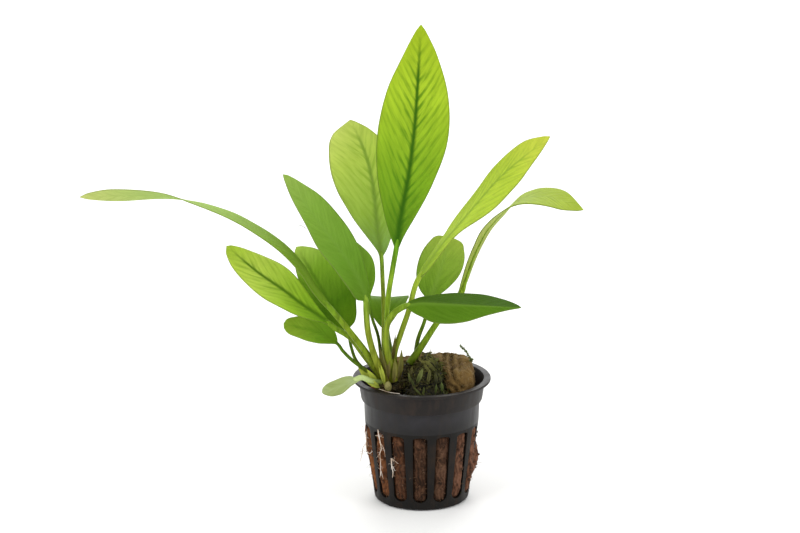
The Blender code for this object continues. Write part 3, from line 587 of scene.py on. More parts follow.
def makeBlade(name, leaf, start, length):
    rows, columns = leafBuild["rows"], leafBuild["columns"]
    deselectAll()
    bpy.ops.mesh.primitive_grid_add(x_subdivisions=rows, y_subdivisions=columns, size=1)
    blade = takeNew(name)
    bpy.ops.object.mode_set(mode="EDIT")
    bpy.ops.mesh.select_mode(type="VERT")
    bm = bmesh.from_edit_mesh(blade.data)
    bm.verts.ensure_lookup_table()
    # each row is drawn out to the leaf's outline, with the rows closer together near the ends
    for i in range(rows + 1):
        t = (1 - math.cos(math.pi * i / rows)) / 2
        for side, halfRow in (("right", range(columns // 2)), ("left", range(columns // 2, columns + 1))):
            bpy.ops.mesh.select_all(action="DESELECT")
            for j in halfRow:
                bm.verts[i + j * (rows + 1)].select_set(True)
            bpy.ops.transform.resize(value=(1, 2 * halfWidth(t, leaf, side) * mm, 1),
                    center_override=(0, 0, 0))
            bpy.ops.transform.translate(value=(start + length * t - (i / rows - 0.5), 0, 0))
    leaveEdit()
    # two charts for the veins, by share and by millimetre
    places = [((1 - math.cos(math.pi * (v % (rows + 1)) / rows)) / 2,
            2 * (v // (rows + 1)) / columns - 1) for v in range(len(blade.data.vertices))]
    chart = blade.data.uv_layers.active
    chart.name = "leafChart"
    measure = blade.data.uv_layers.new(name="leafSize")
    for loop in blade.data.loops:
        chart.data[loop.index].uv = places[loop.vertex_index]
        spot = blade.data.vertices[loop.vertex_index].co
        measure.data[loop.index].uv = ((spot.x - start) / mm, spot.y / mm)
    # the fold, the swelling between veins and the waving margin
    for vert, (t, across) in zip(blade.data.vertices, places):
        off, wide = abs(across), abs(vert.co.y) / mm
        climb = wide * (leafBuild["climb"][0] + leafBuild["climb"][1] * wide)
        turns = ((vert.co.x - start) / mm - climb) / leaf["veins"] + (0.25 if across > 0 else -0.25)
        swell = math.cos(2 * math.pi * turns)
        edge = noise.noise(Vector((t * 4.5, across, len(name) * 3.1))) * off ** 2 * min(1,
                6 * t * (1 - t))
        vert.co.z = leaf["fold"] * min(1.0, t * 5) * (1 - t ** 2) * abs(vert.co.y)
        vert.co.z += 2 * leaf["wave"] * edge * mm
        vert.co.z -= leafBuild["quilt"] * swell * off * (1 - off) * 3 * min(1, 4 * (1 - t)) * mm
    editMesh()
    bpy.ops.mesh.remove_doubles(threshold=0.00001)
    leaveEdit()
    return blade


def makeStalk(name, leaf, spots, faces, bladeShare):
    # the stalk runs on under the blade as its midrib, thinner and thinner
    count = len(spots)
    last = int(count * (bladeShare + (1 - bladeShare) * 0.86))
    line, radii = [], []
    total = lengthsAlong(spots)[-1] / mm
    for i in range(last):
        t = max(0.0, (i / (count - 1) - bladeShare) / (1 - bladeShare))
        radius = (1 - t) ** 1.6 * (1 - 0.45 * min(1.0, 8 * t))
        radius *= 1 + leaf["flare"] * math.exp(-(i / (count - 1)) * total / 9)
        line.append(spots[i] - faces[i] * leaf["stalk"] * mm * radius * 0.8 * min(1.0, t * 30))
        radii.append(radius)
    stalk = addCurve(name, line, leaf["stalk"] * mm, radii, 3)
    makeActive(stalk)
    bpy.ops.object.convert(target="MESH")
    stalk = bpy.context.object
    # its chart gives the millimetres to the blade, by the nearest spot of the line
    for layer in list(stalk.data.uv_layers):
        stalk.data.uv_layers.remove(layer)
    nearest = np.linalg.norm(pointsOf(stalk.data)[:, None] - np.array(line)[None], axis=2).argmin(axis=1)
    stalk.data.uv_layers.new(name="leafChart")
    measure = stalk.data.uv_layers.new(name="leafSize")
    for loop in stalk.data.loops:
        share = nearest[loop.vertex_index] / (count - 1)
        measure.data[loop.index].uv = ((share - bladeShare) * total, share * total)
    return stalk


def buildLeaf(name, leaf):
    line = smoothLine([Vector(point) * mm for point in leaf["route"]], 8)
    reach = lengthsAlong(line)
    start, total = reach[leaf["blade"] * 8], reach[-1]
    spots = evenSpots(line, leafBuild["spots"])
    faces = facesAlong(leaf, len(spots), start / total)
    guide = addCurve(name + "Guide", spots)
    aimGuide(guide, spots, faces)
    blade = makeBlade(name + "Blade", leaf, start, total - start)
    bend = blade.modifiers.new("bend", "CURVE")
    bend.object = guide
    wall = blade.modifiers.new("wall", "SOLIDIFY")
    wall.thickness = leafBuild["thickness"] * mm
    wall.offset = 0
    applyModifiers(blade)
    blade.data.materials.append(bladeMaterial("leaf tissue of " + name, leaf))
    stalk = makeStalk(name + "Stalk", leaf, spots, faces, start / total)
    stalk.data.materials.append(stalkMaterial("stalk skin of " + name, leaf))
    joinAll(blade, [stalk])
    bpy.ops.object.shade_smooth()
    finishPiece(blade, name)
    bpy.data.objects.remove(guide)
    return blade


for name, leaf in leaves.items():
    buildLeaf(name, {**usualLeaf, **leaf})
print("leaves ready")


# Small things that repeat: one model, copied to many places in one mesh

def spotsOn(piece, count, seed, rule=None):
    # random places on a mesh, spread evenly by area, each with the way its face looks
    rng = np.random.default_rng(seed)
    mesh = piece.data
    mesh.calc_loop_triangles()
    corners = np.empty(len(mesh.loop_triangles) * 3, dtype=np.int32)
    mesh.loop_triangles.foreach_get("vertices", corners)
    a, b, c = pointsOf(mesh)[corners.reshape(-1, 3)].transpose(1, 0, 2)
    normals = np.cross(b - a, c - a)
    areas = np.linalg.norm(normals, axis=1)
    normals /= np.maximum(areas, 1e-12)[:, None]
    if rule is not None:
        areas = areas * rule((a + b + c) / 3, normals)
    picks = rng.choice(len(areas), count, p=areas / areas.sum())
    u, v = rng.random((2, count, 1))
    over = u + v > 1
    u, v = np.where(over, 1 - u, u), np.where(over, 1 - v, v)
    return a[picks] + u * (b[picks] - a[picks]) + v * (c[picks] - a[picks]), normals[picks]


def framesFor(aims, ups, sizes):
    # three axes for each copy: its length along aims, its back towards ups
    x = aims / np.linalg.norm(aims, axis=1)[:, None]
    y = np.cross(ups, x)
    y /= np.maximum(np.linalg.norm(y, axis=1), 1e-9)[:, None]
    return np.stack([x, y, np.cross(x, y)], axis=1) * sizes[:, :, None]


def copiesOf(name, models, places, frames, seed):
    # joins the copies; its chart holds the place along a copy, and a random shade for each copy
    rng = np.random.default_rng(seed)
    points, faces, charts = [], [], []
    start = 0
    picks = rng.integers(0, len(models), len(places))
    shades = rng.random(len(places))
    for k, model in enumerate(models):
        shape = pointsOf(model.data)
        low, high = shape[:, 0].min(), shape[:, 0].max()
        polygons = [list(polygon.vertices) for polygon in model.data.polygons]
        for i in np.flatnonzero(picks == k):
            points.append(shape @ frames[i] + places[i])
            for polygon in polygons:
                faces.append([start + v for v in polygon])
                charts.extend(((shape[v, 0] - low) / (high - low), shades[i]) for v in polygon)
            start += len(shape)
    mesh = bpy.data.meshes.new(name)
    mesh.from_pydata(np.concatenate(points).tolist(), [], faces)
    chart = mesh.uv_layers.new(name="copyChart")
    chart.data.foreach_set("uv", np.array(charts).ravel())
    piece = bpy.data.objects.new(name, mesh)
    bpy.context.scene.collection.objects.link(piece)
    for model in models:
        bpy.data.objects.remove(model)
    makeActive(piece)
    bpy.ops.object.shade_smooth()
    return piece


def copyAxes(add):
    # X is the place along a copy, Y its shade
    return add("SeparateXYZ", links={"Vector": add("UVMap", {"uv_map": "copyChart"})})


def makeLeaflet(name, fold, droop, full):
    # a tiny leaf, 1 long and 1 wide at most, of a few faces
    deselectAll()
    bpy.ops.mesh.primitive_grid_add(x_subdivisions=5, y_subdivisions=2, size=1, location=(0.5, 0, 0))
    leaflet = takeNew(name)
    bpy.ops.object.transform_apply(location=True, rotation=False, scale=False)
    for vert in leaflet.data.vertices:
        t = vert.co.x
        vert.co.y *= max(0.06, math.sin(math.pi * t ** full) ** 0.8)
        vert.co.z = fold * abs(vert.co.y) - droop * t * t
    return leaflet


def makeFibre(name, seed, bends, thickness=0.03):
    # a thin strand, 1 long, of a few straight stretches
    rng = np.random.default_rng(seed)
    line = [Vector((t, bends * rng.normal() * t, bends * rng.normal() * t)) for t in np.linspace(0, 1, 5)]
    strand = addCurve(name, smoothLine(line, 2), thickness,
            [1, 1, 0.95, 0.9, 0.85, 0.75, 0.65, 0.5, 0.3], 0)
    makeActive(strand)
    bpy.ops.object.convert(target="MESH")
    return bpy.context.object


def fibreModels(count, seed, bends, thickness):
    return [makeFibre("strand%d" % k, seed + k, bends, thickness) for k in range(count)]


def evenSizes(rng, low, high, count):
    return np.repeat(rng.uniform(low, high, (count, 1)) * mm, 3, axis=1)


def strewFibres(name, carrier, count, seed, rule, lift, lengths, model, lie=1.0):
    # fibres on a mesh, each aimed at random, lying down by lie and standing up by lift
    rng = np.random.default_rng(seed)
    places, normals = spotsOn(carrier, count, seed + 1, rule)
    aims = np.cross(normals, rng.normal(size=normals.shape)) * lie
    aims += normals * rng.uniform(*lift, (count, 1))
    sizes = evenSizes(rng, *lengths, count)
    return copiesOf(name, fibreModels(4, *model), places, framesFor(aims, normals, sizes), seed + 2)


def crumbSizes(rng, low, high, count):
    return rng.uniform(low, high, (count, 1)) * rng.uniform(0.6, 1.2, (count, 3)) * mm


def makeCrumb(name, seed, rough=0.3):
    deselectAll()
    bpy.ops.mesh.primitive_ico_sphere_add(subdivisions=1, radius=0.5)
    crumb = takeNew(name)
    for vert in crumb.data.vertices:
        vert.co *= 1 + rough * noise.noise(vert.co * 3.1 + Vector((seed * 7.3, 0, 0))) * 2
    return crumb


def crumbModels():
    return [makeCrumb("crumb%d" % k, k) for k in range(3)]


# Pot: thin black plastic with a flat flange, a collar, a plain band and slots round the wall

pot = {
    "sides": 180,
    # radius and height in mm, from the underside's edge up the outside, over the rim and down inside
    "profile": [
        (17.5, 0), (18.05, 0.11), (18.5, 0.42), (18.79, 0.87), (18.9, 1.4), (22.7, 32.6), (22.99, 40.7),
        (23.1, 41.0), (23.95, 41.3), (24.12, 41.7), (25.1, 48.1), (25.25, 48.6), (25.6, 48.9),
        (27.0, 48.9), (27.3, 49.02), (27.42, 49.35), (27.4, 49.72), (27.2, 49.97), (25.0, 50.0),
        (24.72, 49.9), (24.6, 49.65), (23.9, 47.5), (22.95, 44.5), (22.2, 42.2), (21.9, 41.0),
        (21.6, 32.6), (17.9, 2.8), (17.5, 1.8), (16.6, 1.4)],
    "bandFoot": 32.6, "collarFoot": 41.2,             # mm, where the wall's dirt and colour change
    # the wall's outside below and above the band's foot: radius and height at its lower end, then
    # how much both grow
    "stretches": ((18.9, 1.4, 3.8, 31.2), (22.7, 32.6, 0.3, 8.4)),
    # where the inside widens to its mouth: height and radius, then how much wider and taller it grows
    "mouth": (41, 21.9, 2.8, 9),
    "wall": 1.1,                                      # mm
    "slots": 15, "slotTurn": -2.0,                    # degrees, the first slot off the front
    "slotWidth": 5.8, "slotFoot": 3.4, "slotTop": 31.5,
    "bar": 14,                                        # mm, length of a slot's cutter, and its start
    "edge": 0.22,                                     # mm, the moulded edges' radius
}


# for each stretch of the wall: three tones, the stain, how much dirt shows, roughness and gloss
plastics = {
    "moulded polypropylene": (("#151315", "#1b191c", "#242226"), "#33291f", 0.25, 0.34, 0.27),
    "brown-stained collar": (("#14100f", "#1a1513", "#241d1a"), "#3c2f26", 0.4, 0.4, 0.22),
    "dirty slotted wall": (("#12100e", "#1a1714", "#231d19"), "#34261c", 0.5, 0.46, 0.17),
}


def makePotShell():
    deselectAll()
    bpy.ops.mesh.primitive_circle_add(vertices=pot["sides"], radius=pot["profile"][0][0] * mm,
            fill_type="NGON")
    shell = takeNew("potWall")
    editMesh("FACE")
    radius, height = pot["profile"][0]
    for nextRadius, nextHeight in pot["profile"][1:]:
        bpy.ops.mesh.extrude_region_move(TRANSFORM_OT_translate={"value": (0, 0,
                (nextHeight - height) * mm)})
        bpy.ops.transform.resize(value=(nextRadius / radius, nextRadius / radius, 1),
                center_override=(0, 0, 0))
        radius, height = nextRadius, nextHeight
    bpy.ops.mesh.select_all(action="SELECT")
    bpy.ops.mesh.normals_make_consistent(inside=False)
    leaveEdit()
    return shell


def makeSlotBar():
    # an upright bar with round ends, laid through the wall at the front
    half = pot["slotWidth"] / 2 * mm
    deselectAll()
    bpy.ops.mesh.primitive_circle_add(vertices=32, radius=half, fill_type="NGON",
            rotation=(math.pi / 2, 0, 0), location=(0, -pot["bar"] * mm, pot["slotFoot"] * mm + half))
    bar = takeNew("slotBar")
    bpy.ops.object.transform_apply()
    editMesh(action="DESELECT")
    bm = bmesh.from_edit_mesh(bar.data)
    for vert in bm.verts:
        vert.select_set(vert.co.z > pot["slotFoot"] * mm + half * 1.01)
    # the upper end is flatter than the foot
    bpy.ops.transform.resize(value=(1, 1, 0.35), center_override=(0, 0, pot["slotFoot"] * mm + half))
    for vert in bm.verts:
        vert.select_set(vert.co.z > pot["slotFoot"] * mm + half * 0.99)
    bpy.ops.transform.translate(value=(0, 0, (pot["slotTop"] - pot["slotFoot"]) * mm - half * 1.35))
    bpy.ops.mesh.select_all(action="SELECT")
    bpy.ops.mesh.extrude_region_move(TRANSFORM_OT_translate={"value": (0, -pot["bar"] * mm, 0)})
    bpy.ops.mesh.select_all(action="SELECT")
    bpy.ops.mesh.normals_make_consistent(inside=False)
    leaveEdit()
    return bar


def makeSlotCutters():
    bar = makeSlotBar()
    bars = []
    for i in range(pot["slots"]):
        copy = bar.copy()
        copy.data = bar.data.copy()
        bpy.context.scene.collection.objects.link(copy)
        copy.rotation_euler.z = math.radians(pot["slotTurn"]) + 2 * math.pi * i / pot["slots"]
        bars.append(copy)
    bpy.data.objects.remove(bar)
    cutter = joinAll(bars[0], bars[1:])
    cutter.name = "slotBars"
    bpy.ops.object.transform_apply()
    return cutter


def plasticMaterial(name, tones, stain, dirtShown, roughness, gloss):
    # black polypropylene, injection moulded: a soft satin shine, dulled by dried water marks
    material, add = newMaterial(name)
    place = add("TexCoord").outputs["Object"]
    cloudy = add("TexNoise", {"Scale": 110.0, "Detail": 4.0, "Roughness": 0.55}, {"Vector": place})
    tone = add("ValToRGB", {"stops": list(zip((0.3, 0.52, 0.75), tones))}, {"Fac": cloudy})
    # upright smears and dull spots, a few millimetres wide
    tall = add("Mapping", {"Scale": (1.0, 1.0, 0.3)}, {"Vector": place})
    smears = add("TexNoise", {"Scale": 260.0, "Detail": 4.0, "Roughness": 0.62}, {"Vector": tall})
    dirt = add("MapRange", {"range": (0.5, 0.72, 0, dirtShown)}, {"Value": smears})
    spot = add("SeparateXYZ", links={"Vector": place})
    low = add("MapRange SMOOTHSTEP", {"range": (0.032, 0.039, 0.7, 0)}, {"Value": spot.outputs["Z"]})
    shaded = add("Mix", {7: "#0d0b09"}, {0: low, 6: tone})
    stained = add("Mix", {7: stain}, {0: dirt, 6: shaded})
    dull = add("MapRange", {"range": (0.35, 0.7, roughness, roughness + 0.2)}, {"Value": smears})
    bump = add("Bump", {"Strength": 0.1, "Distance": 0.0003}, {"Height": cloudy})
    shell = add("BsdfPrincipled", {"IOR": 1.49, "Specular IOR Level": gloss},
            {"Base Color": stained, "Roughness": dull, "Normal": bump})
    add("OutputMaterial", links={"Surface": shell})
    return material


def buildPot():
    shell = makePotShell()
    cutter = makeSlotCutters()
    slots = shell.modifiers.new("slots", "BOOLEAN")
    slots.operation = "DIFFERENCE"
    slots.solver = "EXACT"
    slots.object = cutter
    edges = shell.modifiers.new("edges", "BEVEL")
    edges.width = pot["edge"] * mm
    edges.segments = 2
    edges.limit_method = "ANGLE"
    edges.angle_limit = math.radians(55)
    applyModifiers(shell)
    bpy.data.objects.remove(cutter)
    makeActive(shell)
    bpy.ops.object.shade_smooth_by_angle(angle=math.radians(35))
    finishPiece(shell, "net_pot", [plasticMaterial(name, *look) for name, look in plastics.items()])
    for face in shell.data.polygons:
        height = face.center.z / mm
        face.material_index = 2 if height < pot["bandFoot"] else 1 if height > pot["collarFoot"] else 0
    return shell


buildPot()
print("pot ready")


# Rock wool in the pot: spun brown fibre that swells through the slots

wool = {
    "sides": 360, "rings": 96,
    "foot": 1.75, "top": 43.8,       # mm
    "radius": 20,                    # mm, of the cylinder that the plug is shaped from
    "insets": 9, "inset": 2.1,       # how many rows draw its top in, and their width in mm
    "gap": 0.3,                      # mm, from the pot's inner wall
    "lump": 0.5, "grain": 0.12,      # mm, how far the coarse and the fine bumps stand out
    # turn in degrees, then height, spread and reach in mm, of the places where wool swells out
    "bulges": [(-88, 19.5, 7.5, 1.7), (88, 15, 5.5, 2.0), (-60, 24, 6, 0.5), (62, 12, 8, 0.5)],
    "fibres": 500, "crumbs": 260,
    "look": {"clumps": 230.0, "strands": 200.0, "steps": (0.4, 0.56, 0.78),
             "tones": ("#2a1d14", "#4b3526", "#6a5140"),
             # sides: overlay colours from left to right, pale at both ends: painted light on the left and
             # right sides, with a drift in hue
             "sides": ("#f0b868", "#907666", "#7c7266", "#f0d6d2")},
}


def wallRadius(height):
    # the pot's outer radius in mm at a height in mm
    radius, foot, wider, taller = pot["stretches"][int(height > pot["bandFoot"])]
    return radius + wider * (height - foot) / taller


def slotShare(turn, height):
    # 1 in the middle of a slot, 0 on the ribs between
    step = 2 * math.pi / pot["slots"]
    off = (turn - math.radians(pot["slotTurn"]) + step / 2) % step - step / 2
    across = abs(off) * wallRadius(height) / (pot["slotWidth"] / 2 - 0.15)
    middle = (pot["slotFoot"] + pot["slotTop"]) / 2
    up = abs(height - middle) / ((pot["slotTop"] - pot["slotFoot"]) / 2 - 0.3)
    return max(0.0, 1 - across ** 4) ** 0.6 * max(0.0, 1 - up ** 14) ** 0.6


def woolRadius(turn, height):
    spot = Vector((math.sin(turn) * wool["radius"], -math.cos(turn) * wool["radius"], height))
    lump = noise.fractal(spot * 0.32, 0.9, 2.1, 3) * wool["lump"]
    grain = noise.fractal(spot * 1.15 + Vector((9, 3, 1)), 0.8, 2.0, 4) * wool["grain"]
    share = slotShare(turn, height)
    out = 1.1 + noise.noise(spot * 0.13 + Vector((4, 7, 2))) * 0.7
    for side, middle, spread, reach in wool["bulges"]:
        apart = (math.degrees(turn) - side) / 16
        out += reach * math.exp(-apart ** 2 - ((height - middle) / spread) ** 2)
    inner = wallRadius(height) - pot["wall"] - wool["gap"]
    foot, radius, wider, taller = pot["mouth"]
    if height > foot:
        inner = radius + wider * ((height - foot) / taller) ** 1.3 - wool["gap"]
    return inner + share * (max(0.35, out) + lump + grain) - (1 - share) * 0.25


def makeWoolPlug():
    deselectAll()
    bpy.ops.mesh.primitive_cylinder_add(vertices=wool["sides"], radius=wool["radius"] * mm, depth=1,
            end_fill_type="NGON")
    plug = takeNew("woolPlug")
    editMesh("EDGE", "DESELECT")
    for edge in bmesh.from_edit_mesh(plug.data).edges:
        edge.select_set(abs(edge.verts[0].co.z - edge.verts[1].co.z) > 0.5)
    bpy.ops.mesh.subdivide(number_cuts=wool["rings"])
    # the top is drawn in by steps, so that it can be lumpy too
    bpy.ops.mesh.select_mode(type="FACE")
    bpy.ops.mesh.select_all(action="DESELECT")
    for face in bmesh.from_edit_mesh(plug.data).faces:
        face.select_set(face.normal.z > 0.9)
    for step in range(wool["insets"]):
        bpy.ops.mesh.inset(thickness=wool["inset"] * mm)
    leaveEdit()
    for vert in plug.data.vertices:
        radius = math.hypot(vert.co.x, vert.co.y)
        turn = math.atan2(vert.co.x, -vert.co.y)
        height = wool["foot"] + (vert.co.z + 0.5) * (wool["top"] - wool["foot"])
        share = radius / (wool["radius"] * mm)
        reach = woolRadius(turn, height) * min(1.0, share) * mm
        vert.co.x, vert.co.y = math.sin(turn) * reach, -math.cos(turn) * reach
        if share < 0.99 and height > 20:
            height += noise.fractal(vert.co / mm * 0.3, 0.9, 2.0, 4) * 1.6
        vert.co.z = height * mm
    return plug


def woolMaterial(name, look):
    # spun mineral fibre: matt and matted, stained by damp and peat; its mottled tone is darker in the
    # pits as painted shade, and pale side colours paint light on its sides
    material, add = newMaterial(name)
    place = add("TexCoord").outputs["Object"]
    clumps = add("TexNoise", {"Scale": look["clumps"], "Detail": 5.0, "Roughness": 0.6,
            "Distortion": 0.5}, {"Vector": place})
    strands = add("TexWave", {"Scale": look["strands"], "Distortion": 12.0, "Detail": 4.0,
            "Detail Scale": 1.2}, {"Vector": place})
    blended = add("Math MULTIPLY_ADD", {1: 0.14}, {0: strands.outputs["Fac"], 2: clumps})
    # painted shade: the noise that raises the bump also darkens the colour where the bump sinks
    tone = add("ValToRGB", {"stops": list(zip(look["steps"], look["tones"]))}, {"Fac": blended})
    # painted light: overlay colours that run across x, pale at the ends, lighten the sides; they also
    # drift the hue
    patches = add("TexNoise", {"Scale": 90.0, "Detail": 3.0}, {"Vector": place})
    axes = add("SeparateXYZ", links={"Vector": place})
    wander = add("Math MULTIPLY_ADD", {1: 0.012, 2: -0.006}, {0: patches})
    moved = add("Math ADD", links={0: wander, 1: axes.outputs["X"]})
    sides = add("MapRange", {"range": (-0.022, 0.022)}, {"Value": moved})
    sideLightTint = add("ValToRGB", {"stops": list(zip((0.1, 0.35, 0.6, 0.95), look["sides"]))}, {"Fac": sides})
    sideLitTone = add("Mix OVERLAY", {0: 0.7}, {6: tone, 7: sideLightTint})
    bump = add("Bump", {"Strength": 0.35, "Distance": 0.0006}, {"Height": blended})
    fibre = add("BsdfPrincipled", {"Roughness": 0.9, "Specular IOR Level": 0.15},
            {"Base Color": sideLitTone, "Normal": bump})
    add("OutputMaterial", links={"Surface": fibre})
    return material


def strandMaterial(name, dark, light, roughness=0.7):
    # thin loose strands and crumbs: each one a shade of its own
    material, add = newMaterial(name)
    axes = copyAxes(add)
    place = add("TexCoord").outputs["Object"]
    flecks = add("TexNoise", {"Scale": 900.0, "Detail": 2.0}, {"Vector": place})
    mixed = add("Math MULTIPLY_ADD", {1: 0.45}, {0: flecks, 2: axes.outputs["Y"]})
    tone = add("ValToRGB", {"stops": [(0.1, dark), (1.1 / 1.2, light)]}, {"Fac": mixed})
    skin = add("BsdfPrincipled", {"Roughness": roughness, "Specular IOR Level": 0.3},
            {"Base Color": tone})
    add("OutputMaterial", links={"Surface": skin})
    return material


def inSlots(points, normals):
    # only where the wool shows between the ribs
    rule = np.zeros(len(points))
    for i, (x, y, z) in enumerate(points / mm):
        if math.hypot(x, y) > 16 and z < 33:
            share = slotShare(math.atan2(x, -y), z)
            rule[i] = 0.1 + share if share > 0.3 else 0
    return rule


def buildWoolPlug():
    plug = makeWoolPlug()
    makeActive(plug)
    bpy.ops.object.shade_smooth()
    rng = np.random.default_rng(11)
    places, normals = spotsOn(plug, wool["fibres"], 12, inSlots)
    lie = np.cross(normals, rng.normal(size=normals.shape))
    lie /= np.linalg.norm(lie, axis=1)[:, None]
    lie[:, 2] -= 0.35
    aims = lie + normals * rng.uniform(-0.15, 0.3, (len(places), 1))
    sizes = evenSizes(rng, 1.0, 2.8, len(places))
    models = fibreModels(4, 20, 0.16, 0.022)
    fibres = copiesOf("woolFibres", models, places, framesFor(aims, normals, sizes), 13)
    finishPiece(fibres, "wool_plug", [strandMaterial("loose mineral fibre", "#33231a", "#7c5c42")])
    places, normals = spotsOn(plug, wool["crumbs"], 14, inSlots)
    sizes = crumbSizes(rng, 0.35, 1.2, len(places))
    models = crumbModels()
    crumbs = copiesOf("woolCrumbs", models, places + normals * 0.1 * mm,
            framesFor(rng.normal(size=normals.shape), normals, sizes), 15)
    finishPiece(crumbs, "wool_plug", [strandMaterial("peat crumbs", "#1c120c", "#543a28", 0.85)])
    finishPiece(plug, "wool_plug", [woolMaterial("damp rock wool", wool["look"])])


buildWoolPlug()
print("wool in the pot ready")


# The torn lump of rock wool that stands out of the pot, and the creeping stem

def mergedCopy(node, name):
    # a copy of a CAD node's mesh with its loose triangles joined up
    deselectAll()
    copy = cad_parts[node].copy()
    copy.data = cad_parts[node].data.copy()
    copy.name = name
    copy.data.name = name
    copy.data.materials.clear()
    copy.parent = None
    copy.hide_render = False
    copy.hide_viewport = False
    bpy.context.scene.collection.objects.link(copy)
    makeActive(copy)
    editMesh()
    bpy.ops.mesh.remove_doubles(threshold=0.000001)
    leaveEdit()
    return copy


def weather(piece, voxel, waves):
    # an even skin of small faces, pushed in and out by noise of several sizes
    skin = piece.modifiers.new("skin", "REMESH")
    skin.mode = "VOXEL"
    skin.voxel_size = voxel * mm
    for size, depth in waves:
        cloud = bpy.data.textures.new(piece.name + "Cloud", "CLOUDS")
        cloud.noise_scale = size * mm
        cloud.noise_depth = 2
        push = piece.modifiers.new("push", "DISPLACE")
        push.texture = cloud
        push.texture_coords = "LOCAL"
        push.strength = depth * mm
        push.mid_level = 0.5
    applyModifiers(piece)
    bpy.ops.object.shade_smooth()


block = {
    "voxel": 0.38, "waves": [(6.0, 1.7), (2.6, 1.0), (1.0, 0.3)],
    "fibres": 420, "from": 47,       # mm, the height where they start
    "creases": [
        ([(9.8, 61), (11.2, 57), (13.5, 53), (16.4, 49.6)], 0.75, 1.9),
        ([(8.4, 58), (9.4, 53), (10.2, 47)], 0.9, 1.6),
        ([(13.2, 61), (14.6, 56.5), (15.2, 54)], 0.5, 0.8),
        ([(2.5, 60.4), (7, 58.8), (10, 58.2)], 0.5, 0.9), ([(10.4, 51.5), (13, 50), (15, 47)], 0.6, 1.0)],
    "look": {"clumps": 150.0, "strands": 60.0, "steps": (0.3, 0.55, 0.8),
             "tones": ("#54442a", "#75623e", "#8a7750"),
             # sides: overlay colours from left to right; the pale left one is painted light on the side
             # that lies in the stalks' shadow
             "sides": ("#b4ac96", "#a49c80", "#928868", "#947e5a")},
}


def pressCreases(piece, creases):
    # presses folds into the camera's side, each a line in x and z, a width and a depth in mm
    data = piece.data
    points, normals = pointsOf(data), np.zeros(len(data.vertices) * 3)
    data.vertex_normals.foreach_get("vector", normals)
    normals = normals.reshape(-1, 3)
    seen = np.clip((normals[:, 2] - normals[:, 1]) * 2, 0, 1)
    inward = np.zeros(len(points))
    for line, wide, deep in creases:
        for (x0, z0), (x1, z1) in zip(line, line[1:]):
            start, along = np.array((x0, z0)) * mm, np.array((x1 - x0, z1 - z0)) * mm
            away = points[:, (0, 2)] - start
            share = np.clip(away @ along / (along @ along), 0, 1)
            gap = np.linalg.norm(away - share[:, None] * along, axis=1)
            inward = np.maximum(inward, deep * mm * np.exp(-(gap / (wide * mm)) ** 2))
    data.vertices.foreach_set("co", (points - normals * (inward * seen)[:, None]).ravel())
    data.update()


def buildWoolBlock():
    lump = mergedCopy("wool_block", "woolBlock")
    weather(lump, block["voxel"], block["waves"])
    pressCreases(lump, block["creases"])
    above = lambda p, n: (p[:, 2] > block["from"] * mm) * 1.0
    fibres = strewFibres("blockFibres", lump, block["fibres"], 31, above, (-0.1, 0.35), (1.2, 3.4),
            (40, 0.2, 0.018))
    finishPiece(fibres, "wool_block", [strandMaterial("pale mineral fibre", "#6a5634", "#a08a60")])
    finishPiece(lump, "wool_block", [woolMaterial("dry rock wool", block["look"])])


buildWoolBlock()
print("wool block ready")


stem = {"voxel": 0.3, "waves": [(2.4, 0.5), (0.8, 0.18)]}


def stemMaterial():
    # an old creeping stem: green-brown skin, ringed with brown scars where leaves have been
    material, add = newMaterial("creeping stem skin")
    place = add("TexCoord").outputs["Object"]
    blotches = add("TexNoise", {"Scale": 260.0, "Detail": 5.0, "Roughness": 0.6}, {"Vector": place})
    rings = add("TexNoise", {"Scale": 95.0, "Detail": 3.0}, {"Vector": place})
    mixed = add("Math MULTIPLY_ADD", {1: 0.3}, {0: rings, 2: blotches})
    tone = add("ValToRGB", {"stops": [(0.38, "#1c150a"), (0.55, "#332a12"), (0.75, "#4c4520"),
            (0.95, "#6c6834")]}, {"Fac": mixed})
    bump = add("Bump", {"Strength": 0.5, "Distance": 0.0005}, {"Height": mixed})
    skin = add("BsdfPrincipled", {"Roughness": 0.6, "Specular IOR Level": 0.15},
            {"Base Color": tone, "Normal": bump})
    add("OutputMaterial", links={"Surface": skin})
    return material


def buildStem():
    body = mergedCopy("rhizome", "creepingStem")
    weather(body, stem["voxel"], stem["waves"])
    finishPiece(body, "rhizome", [stemMaterial()])
    return body


creepingStem = buildStem()
print("stem ready")


# Moss: a dark bank of tangled shoots with a few pale leaflets

moss = {
    "voxel": 0.4, "waves": [(4.0, 2.2), (1.4, 0.8)],
    "long": 210, "short": 820, "threads": 420, "from": 46,        # mm, the height where they start
    # in mm: where a leaflet starts and ends, and its width
    "pale": [
        ((0.2, -13.6, 57.6), (-2.2, -15.4, 51.4), 1.9), ((0.7, -19.8, 52.0), (0.4, -20.4, 48.4), 0.8),
        ((7.6, -17.8, 53.2), (8.0, -19.2, 49.0), 1.3), ((5.6, -18.4, 52.6), (5.2, -19.8, 48.8), 0.9),
        ((-4.8, -14.8, 54.6), (-2.4, -17.4, 49.4), 0.9),
        ((-5.4, -12.6, 55.6), (-4.6, -14.6, 51.8), 0.9), ((-3.4, -17.2, 50.8), (0.2, -20.2, 48.2), 0.8)],
    "green": [
        ((1.2, -9.0, 59.4), (6.6, -11.6, 54.6), 1.4), ((2.6, -7.6, 60.0), (7.8, -10.0, 55.8), 1.2),
        ((0.6, -10.6, 58.4), (4.4, -13.2, 54.4), 1.2), ((3.0, -12.4, 56.8), (2.2, -15.8, 51.2), 1.4),
        ((5.2, -12.6, 55.6), (5.8, -16.4, 50.8), 1.4), ((-0.8, -8.2, 59.0), (3.0, -8.6, 57.8), 1.1),
        ((-3.6, -11.6, 57.2), (-5.4, -13.6, 52.8), 1.1), ((7.0, -12.8, 54.6), (7.6, -16.8, 50.4), 1.0)],
}


